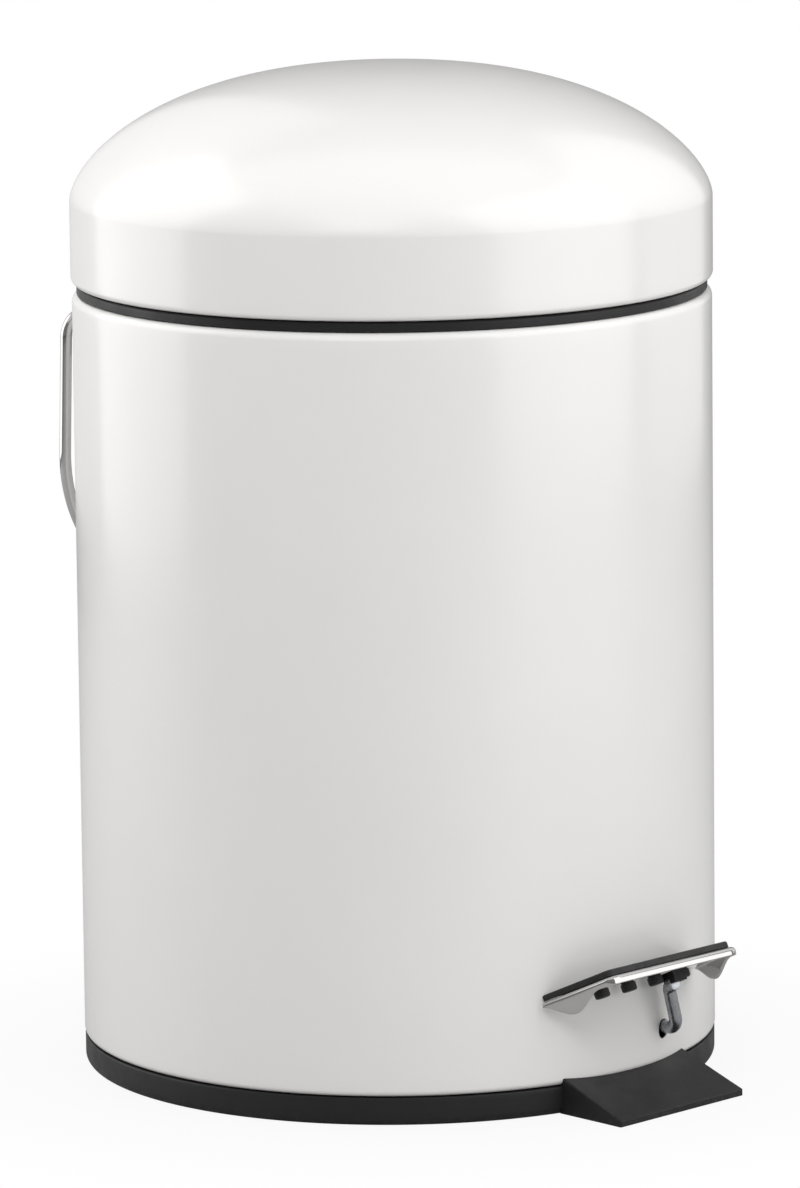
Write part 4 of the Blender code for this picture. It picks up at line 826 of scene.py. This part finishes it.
def pedalRim(sizes, inset=0.0):
    # left side from its rear tip, rounded corner, front, and the same mirrored, drawn in by inset along the
    # outward normals, which are returned too; the corner is centre + r (cos a, sin a)
    tip, corner = np.array([sizes["rearHalf"], 0.0]), np.array([sizes["frontHalf"], sizes["length"]])
    edge = (corner - tip) / np.linalg.norm(corner - tip)
    outward = np.array([edge[1], -edge[0]])
    turn = math.atan2(outward[1], outward[0])
    rounding = sizes["corner"]
    reach = rounding * math.tan((math.pi / 2 - turn) / 2)
    start, end = corner - edge * reach, corner - np.array([reach, 0])
    centre = end - np.array([0, rounding])
    angle = np.linspace(turn, math.pi / 2, 15)
    arc = centre + rounding * np.stack([np.cos(angle), np.sin(angle)], 1)
    side = line(tip, start, 0.0008)[:-1]
    front = line(end, (0, sizes["length"]), 0.0010)[1:]
    points = np.concatenate([side, arc, front])
    normals = np.concatenate([np.repeat(outward[None], len(side), 0),
                              np.stack([np.cos(angle), np.sin(angle)], 1),
                              np.repeat([[0.0, 1.0]], len(front), 0)])
    points = points - normals * inset
    flip = np.array([-1, 1])
    return (np.concatenate([points[:-1] * flip, points[::-1]]),
            np.concatenate([normals[:-1] * flip, normals[::-1]]))


def pedalRear(sizes, side, inset=0.0):
    # forward place of the rear edge, which follows the shell: (rearY + sqrt(r^2 - x^2)) / cos(slope)
    tipX = sizes["rearHalf"]
    radius = math.hypot(tipX, sizes["rearY"]) + inset
    return (sizes["rearY"] + np.sqrt(radius ** 2 - side ** 2)) / math.cos(math.radians(sizes["slope"]))


def flangeDepth(sizes, forward):
    # depth below the top: tip + (front - tip) u + wing sin(pi s)^2, u from the rear tip to the front edge
    # and s from 0 to 1 over the wing's part of u
    u = np.clip(forward / sizes["length"], 0, 1)
    start, end = sizes["wing"]
    s = np.clip((u - start) / (end - start), 0, 1)
    plain = sizes["tipDepth"] + (sizes["frontDepth"] - sizes["tipDepth"]) * u
    return plain + sizes["wingDepth"] * np.sin(math.pi * s) ** 2


def pedalPlate(sizes):
    # rows from the rear edge to the rim, over a quarter circle of the bend's radius, then down the flange,
    # which leans in by draft * depth * t^1.6, t from 0 at the bend to 1 at the lower edge
    rim, normal = pedalRim(sizes)
    bendRadius = sizes["bend"]
    inner = rim - normal * bendRadius
    rearSide = inner[:, 0] / np.abs(inner[:, 0]).max() * (sizes["rearHalf"] - bendRadius)
    rear = np.stack([rearSide, pedalRear(sizes, rearSide, 0.0004)], 1)
    rear[:, 1] = np.minimum(rear[:, 1], inner[:, 1])
    share = np.linspace(0, 1, 9)[:-1, None, None]
    flat = rear + (inner - rear) * share
    rows = [onPedal(flat[..., 0], flat[..., 1], 0.0)]
    angle = np.radians(np.linspace(0, 90, 9))[:, None]
    out = inner + normal * bendRadius * np.sin(angle)[..., None]
    rows.append(onPedal(out[..., 0], out[..., 1], -bendRadius * (1 - np.cos(angle))))
    depth = flangeDepth(sizes, rim[:, 1]) - bendRadius
    down = np.linspace(0, 1, 9)[1:, None]
    low = rim - normal * (depth * sizes["draft"] * down ** 1.6)[..., None]
    rows.append(onPedal(low[..., 0], low[..., 1], -bendRadius - depth * down))
    return [sheet(np.concatenate(rows))]


padSizes = {"thickness": 0.0020, "lift": 0.0003, "inset": 0.0018, "round": 0.0006, "ribPitch": 0.0030,
            "ribDepth": 0.00045, "ribMargin": 0.0028, "pegRadius": 0.0025, "pegDepth": 0.0042,
            "pegSpacing": 0.0125, "pegForward": 0.00915}


def pedalTread(sizes):
    # rows from the rear edge out over a rounded edge and down; grooves cut the top between its margins:
    # depth * (0.5 + 0.5 cos(2 pi forward / pitch))^6
    rim, normal = pedalRim(pedalSizes, sizes["inset"])
    rounding, top, low = sizes["round"], sizes["lift"] + sizes["thickness"], sizes["lift"]
    inner = rim - normal * rounding
    rearSide = inner[:, 0] / np.abs(inner[:, 0]).max() * (np.abs(inner[:, 0]).max() - 0.0002)
    rearEdge = np.stack([rearSide, pedalRear(pedalSizes, rearSide, sizes["inset"])], 1)
    rearEdge[:, 1] = np.minimum(rearEdge[:, 1], inner[:, 1])
    rearTop = rearEdge + np.array([0, rounding])
    rearTop[:, 1] = np.minimum(rearTop[:, 1], inner[:, 1])
    share = np.linspace(0, 1, 90)[:, None, None]
    flat = rearTop + (inner - rearTop) * share
    edge = np.minimum(np.linalg.norm(flat - inner, axis=2), np.linalg.norm(flat - rearTop, axis=2))
    fade = np.clip((edge - sizes["ribMargin"] * 0.6) / (sizes["ribMargin"] * 0.4), 0, 1)
    groove = (0.5 + 0.5 * np.cos(2 * math.pi * flat[..., 1] / sizes["ribPitch"])) ** 6
    rows = [onPedal(rearEdge[:, 0], rearEdge[:, 1], low + 0 * rearEdge[:, 0])[None],
            onPedal(rearEdge[:, 0], rearEdge[:, 1], top - rounding + 0 * rearEdge[:, 0])[None],
            onPedal(flat[..., 0], flat[..., 1], top - sizes["ribDepth"] * groove * fade)]
    angle = np.radians(np.linspace(0, 90, 7))[1:, None]
    out = inner + normal * rounding * np.sin(angle)[..., None]
    rows.append(onPedal(out[..., 0], out[..., 1], top - rounding * (1 - np.cos(angle))))
    rows.append(onPedal(rim[:, 0], rim[:, 1], low)[None])
    under = rim + (rearEdge - rim) * np.linspace(0, 1, 9)[1:, None, None]
    rows.append(onPedal(under[..., 0], under[..., 1], low))
    pad = np.concatenate(rows)
    ends = [np.broadcast_to(pad[:, [tip]].mean(0, keepdims=True), (len(pad), 1, 3)) for tip in (0, -1)]
    sheets = [sheet(np.concatenate([ends[0], pad, ends[1]], 1))]
    shank, head = sizes["pegRadius"] * 0.84, sizes["pegRadius"]
    depth = -sizes["pegDepth"]
    profile = chain([(0, 0.0006), (shank, 0.0006), (shank, -0.0014), (head, -0.0017),
                     (head, depth + 0.0010)],
                    bend((head - 0.0007, depth + 0.0007), 0.0007, 0, -90, 5), [(0, depth)])
    for i in range(4):
        points, flatPlace = turned(profile, 32)
        place = onPedal(points[..., 0] + sizes["pegSpacing"] * (i - 1.5),
                        sizes["pegForward"] - points[..., 1], points[..., 2])
        sheets.append(sheet(place, flatPlace))
    return sheets


leverSizes = {"radius": 0.0021, "entry": 0.0164, "run": 0.0284, "standOff": 0.0048, "bend": 0.0042,
              "topBend": 0.0029, "topShift": 0.0042, "knee": 0.0357,
              "end": (-0.0016, -0.0037, 0.0018)}   # cut end from the knee


def leverPath(sizes):
    # cut end under the pedal, upright, through the shell, pivot run, then back to the push rod
    shell = boxOf("body_shell")[1][0]
    pivot = jointPlace("pedal_press")
    rear = boxOf("pedal_lever")[1][1]
    upright = -(math.sqrt(shell ** 2 - sizes["entry"] ** 2) + sizes["standOff"] + sizes["radius"] * 0.6)
    top = sizes["entry"] - sizes["topShift"]
    aside, ahead, above = sizes["end"]
    return cornered([(top + aside, upright + ahead, sizes["knee"] + above), (top, upright, sizes["knee"]),
                     (sizes["entry"], upright, pivot[2]), (sizes["entry"], pivot[1], pivot[2]),
                     (sizes["entry"] - sizes["run"], pivot[1], pivot[2]), (0, rear, pivot[2])],
                    [sizes["topBend"], sizes["bend"], sizes["bend"], sizes["bend"]], 0.003, 12)


print("pedal")
plate = build("pedalPlate", pedalPlate(pedalSizes), chrome, "pedal", ("pedal_plate",), sharp=60,
              outward=False)
thick = plate.modifiers.new("sheetMetal", "SOLIDIFY")
thick.thickness = pedalSizes["sheet"]
thick.offset = -1
thick.use_even_offset = True
soft = plate.modifiers.new("edge", "BEVEL")
soft.width = pedalSizes["brokenEdge"]
soft.segments = 2
soft.limit_method = "ANGLE"
soft.angle_limit = math.radians(60)
build("pedalTread", pedalTread(padSizes), rubber, "pedal", ("pedal_pad",))
build("pedalLever", [wire(leverPath(leverSizes), leverSizes["radius"])], zinc, "pedal", ("pedal_lever",))
finishedCopy("pedal_clip", "pedalClip", black, "pedal", 0.0004)


# push rod

rodSizes = {"radius": 0.0020}


def pushRod(sizes):
    # a straight wire, cut square below and domed above
    low, high = boxOf("push_rod")
    x, y = (low[:2] + high[:2]) / 2
    path = line((0, low[2] + 0.0003), (0, high[2] - sizes["radius"]), 0.01)
    return [wire(np.stack([x + 0 * path[:, 0], y + 0 * path[:, 0], path[:, 1]], 1), sizes["radius"], 24,
                 ("cut", "dome"))]


print("push rod")
build("pushRod", pushRod(rodSizes), zinc, "push_rod", ("push_rod",))
finishedCopy("push_rod_shoe", "pushRodShoe", nylon, "push_rod", 0.0006)


# rear carrying handle

handleSizes = {"wire": 0.0019, "half": 0.0480, "drop": 0.0450, "bend": 0.0070, "end": 0.0280, "gap": 0.0003}


def handlePath(sizes):
    # a U: ends turned in, straight sides, a half circle below; then leant about its ends to rest on the shell
    pivot, shell = jointPlace("carry_handle_swing"), boxOf("body_shell")[1][0]
    half, centre = sizes["half"], -sizes["drop"]
    left = cornered([(-sizes["end"], 0, 0), (-half, 0, 0), (-half, 0, centre)], sizes["bend"], 0.004, 12)
    angle = np.linspace(0, math.pi, 61)[1:-1]
    bow = np.stack([-half * np.cos(angle), 0 * angle, centre - half * np.sin(angle)], 1)
    path = np.concatenate([left, bow, left[::-1] * np.array([-1, 1, 1])])
    lean = math.asin((shell + sizes["wire"] + sizes["gap"] - pivot[1]) / (sizes["drop"] + half))
    return moved(path, Matrix.Translation(Vector(pivot)) @ Matrix.Rotation(lean, 4, "X"))


print("rear handle")
build("rearHandle", [wire(handlePath(handleSizes), handleSizes["wire"], 32)], chrome, "carry_handle",
      ("rear_handle",))
for side in ("left", "right"):
    finishedCopy("handle_lug_" + side, side + "HandleLug", chrome, "shell", 0.0005)


# bucket and its bail

bucketSizes = {"flange": 0.0033, "flangeThick": 0.0015, "taper": 0.0060, "wall": 0.0016, "corner": 0.0040,
               "earWidth": 0.0090, "earThick": 0.0026, "earHeight": 0.0050, "earRoot": 0.0012,
               "earRound": 0.0006, "edge": 0.0005, "columns": 240}
bailSizes = {"wire": 0.0015, "clear": 0.0003, "spareBend": 0.0006, "straight": 0.0080, "inside": 0.0030}


def innerBucket(sizes):
    # outer and inner outline turned round Z: floor, corner's arc, tapered wall, flange with rounded edges;
    # two ears stand on the flange
    low, high = boxOf("inner_bucket")
    rim, floor = high[0] + 0.00004, low[2]
    flangeTop = high[2] - sizes["earHeight"]
    flangeLow = flangeTop - sizes["flangeThick"]
    top = rim - sizes["flange"]
    foot, wall, corner, edge = top - sizes["taper"], sizes["wall"], sizes["corner"], sizes["edge"]
    outer = chain(line((0, floor), (foot - corner, floor), 0.012),
                  bend((foot - corner, floor + corner), corner, -90, 0, 8),
                  line((foot, floor + corner), (top, flangeLow), 0.012), [(rim - edge, flangeLow)],
                  bend((rim - edge, flangeLow + edge), edge, -90, 0, 4),
                  bend((rim - edge, flangeTop - edge), edge, 0, 90, 4),
                  line((rim - edge, flangeTop), (top - wall + edge, flangeTop), 0.002),
                  bend((top - wall + edge, flangeTop - edge), edge, 90, 180, 4))
    inner = chain([outer[-1]], line(outer[-1], (foot - wall, floor + corner), 0.012),
                  bend((foot - corner, floor + corner), corner - wall, 0, -90, 6),
                  line((foot - corner, floor + wall), (0, floor + wall), 0.012))
    sheets = [sheet(*turned(profile, sizes["columns"])) for profile in (outer, inner)]
    outside = top - wall + 0.0004
    for side in (-1, 1):
        edges = sorted((side * (outside - sizes["earThick"]), side * outside))
        half = sizes["earWidth"] / 2
        block = roundedBox((edges[0], -half, flangeTop - sizes["earRoot"]), (edges[1], half, high[2]),
                           sizes["earRound"], 4, 10)

        def change(points):
            # each ear narrows to its top: y sqrt(1 - 0.72 t^2), t from 0 to 1 over its upper part
            x, y, z = points[..., 0], points[..., 1], points[..., 2]
            rise = np.clip((z - (high[2] - half)) / half, 0, 1)
            return np.stack([x, y * np.sqrt(1 - 0.72 * rise ** 2), z], -1)

        sheets += warped(block, change)
    return sheets


def bailPath(sizes):
    # out through each ear, forward, then a half circle that lies on the flange
    pivot = jointPlace("bail_swing")
    rim = boxOf("inner_bucket")[1][0] + 0.00004
    outside = rim - bucketSizes["flange"] - bucketSizes["wall"] + 0.0004
    bendRadius = sizes["wire"] + sizes["spareBend"]
    bow = outside + sizes["clear"] + bendRadius
    end = outside - bucketSizes["earThick"] - sizes["inside"]
    start = sizes["straight"]
    left = cornered([(-end, 0, 0), (-bow, 0, 0), (-bow, -start, 0)], bendRadius, 0.003, 8)
    angle = np.linspace(0, math.pi, 73)[1:-1]
    arc = np.stack([-bow * np.cos(angle), -start - (bow - start) * np.sin(angle), 0 * angle], 1)
    path = np.concatenate([left, arc, left[::-1] * np.array([-1, 1, 1])])
    return path + pivot


print("bucket")
build("innerBucket", innerBucket(bucketSizes), grey, "bucket", ("inner_bucket",))
build("bucketBail", [wire(bailPath(bailSizes), bailSizes["wire"], 24)], zinc, "bail", ("bucket_handle",))


# hinge, bearing, guides and fasteners

rivetSizes = {"radius": 0.0015, "head": 0.0029, "headHeight": 0.0012, "tail": 0.0009}
screwSizes = {"radius": 0.0015, "head": 0.0027, "headHeight": 0.0016, "slot": 0.0006, "slotDepth": 0.0007,
              "pitch": 0.0008}


def rivetBody(node, sizes):
    # domed head outside, shank, flat head inside, turned about the rivet's own axis along -Y
    low, high = boxOf(node)
    length = high[1] - low[1]
    angle = np.radians(np.linspace(0, 80, 8))
    head, rise, tail = sizes["head"], sizes["headHeight"], length - sizes["tail"]
    dome = np.stack([head * np.sin(angle), rise * (1 - np.cos(angle))], 1)
    profile = chain(dome, [(head, rise - 0.0001), (head - 0.0001, rise), (sizes["radius"], rise),
                           (sizes["radius"], tail), (head * 0.82, tail), (head * 0.85, tail + 0.0001),
                           (head * 0.85, length - 0.0002), (head * 0.78, length), (0, length)])
    points, flat = turned(profile, 32)
    matrix = turnTo(((low[0] + high[0]) / 2, high[1], (low[2] + high[2]) / 2), (0, -1, 0))
    return [sheet(moved(points, matrix), flat)]


def screwBody(node, up, sizes):
    # pan head with a softened edge, shank with a shallow thread: r - 0.08 mm + 0.07 mm sin(2 pi z / pitch)
    low, high = boxOf(node)
    length, head, rise = high[2] - low[2], sizes["head"], sizes["headHeight"]
    height = np.linspace(rise + 0.0004, length - 0.0004, 60)
    wave = np.sin(2 * math.pi * height / sizes["pitch"])
    thread = np.stack([sizes["radius"] - 0.00008 + 0.00007 * wave, height], 1)
    edge = 0.0006
    profile = chain([(0, 0), (head - edge, 0)], bend((head - edge, edge), edge, -90, 0, 6),
                    [(head, rise), (sizes["radius"], rise)], thread,
                    [(sizes["radius"] * 0.7, length), (0, length)])
    points, flat = turned(profile, 32)
    start = ((low[0] + high[0]) / 2, (low[1] + high[1]) / 2, high[2] if up else low[2])
    matrix = turnTo(start, (0, 0, -1 if up else 1))
    slots = []
    for wide, deep in ((head * 0.62, sizes["slot"] / 2), (sizes["slot"] / 2, head * 0.62)):
        block = roundedBox((-wide, -deep, -0.001), (wide, deep, sizes["slotDepth"]), 0.00015, 2, 1)
        slots.append(cutter(warped(block, lambda points: moved(points, matrix))))
    return [sheet(moved(points, matrix), flat)], slots


print("hinge, bearing and fasteners")
finishedCopy("hinge_base", "hingeBase", black, "shell", 0.0005)
finishedCopy("lid_hinge_bracket", "lidBracket", black, "lid", 0.0004)
finishedCopy("hinge_pin", "hingePin", zinc, "shell", 0.0002)
finishedCopy("lever_bearing", "leverBearing", nylon, "shell", 0.0004)
finishedCopy("lever_bearing_cap", "bearingCap", zinc, "shell", 0.0003)
for level in ("lower", "upper"):
    finishedCopy("push_rod_guide_" + level, level + "RodGuide", nylon, "shell", 0.0004)
for group, body in (("hinge", "shell"), ("lug", "shell"), ("lid", "lid")):
    for side in ("left", "right"):
        node = group + "_rivet_" + side
        name = side + group.capitalize() + "Rivet"
        build(name, rivetBody(node, rivetSizes), zinc, body, (node,))
for group, up in (("cap", True), ("base", False)):
    for side in ("left", "right"):
        node = group + "_screw_" + side
        sheets, slots = screwBody(node, up, screwSizes)
        name = side + group.capitalize() + "Screw"
        carve(build(name, sheets, zinc, "shell", (node,)), slots)


print("studio")
placeCamera(cameraView)
for name, values in lightRig.items():
    placeLight(name, *values)
placeWorld(**roomLook)
floorMesh = bpy.data.meshes.new("studioFloor")
far = 6   # half the floor's side
floorMesh.from_pydata([(-far, -far, 0), (far, -far, 0), (far, far, 0), (-far, far, 0)], [], [(0, 1, 2, 3)])
floorMesh.materials.append(paleFloor(**floorLook))
studioFloor = bpy.data.objects.new("studioFloor", floorMesh)
bpy.context.scene.collection.objects.link(studioFloor)
studioFloor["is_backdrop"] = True
bpy.context.scene.view_settings.view_transform = "Standard"

low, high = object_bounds()
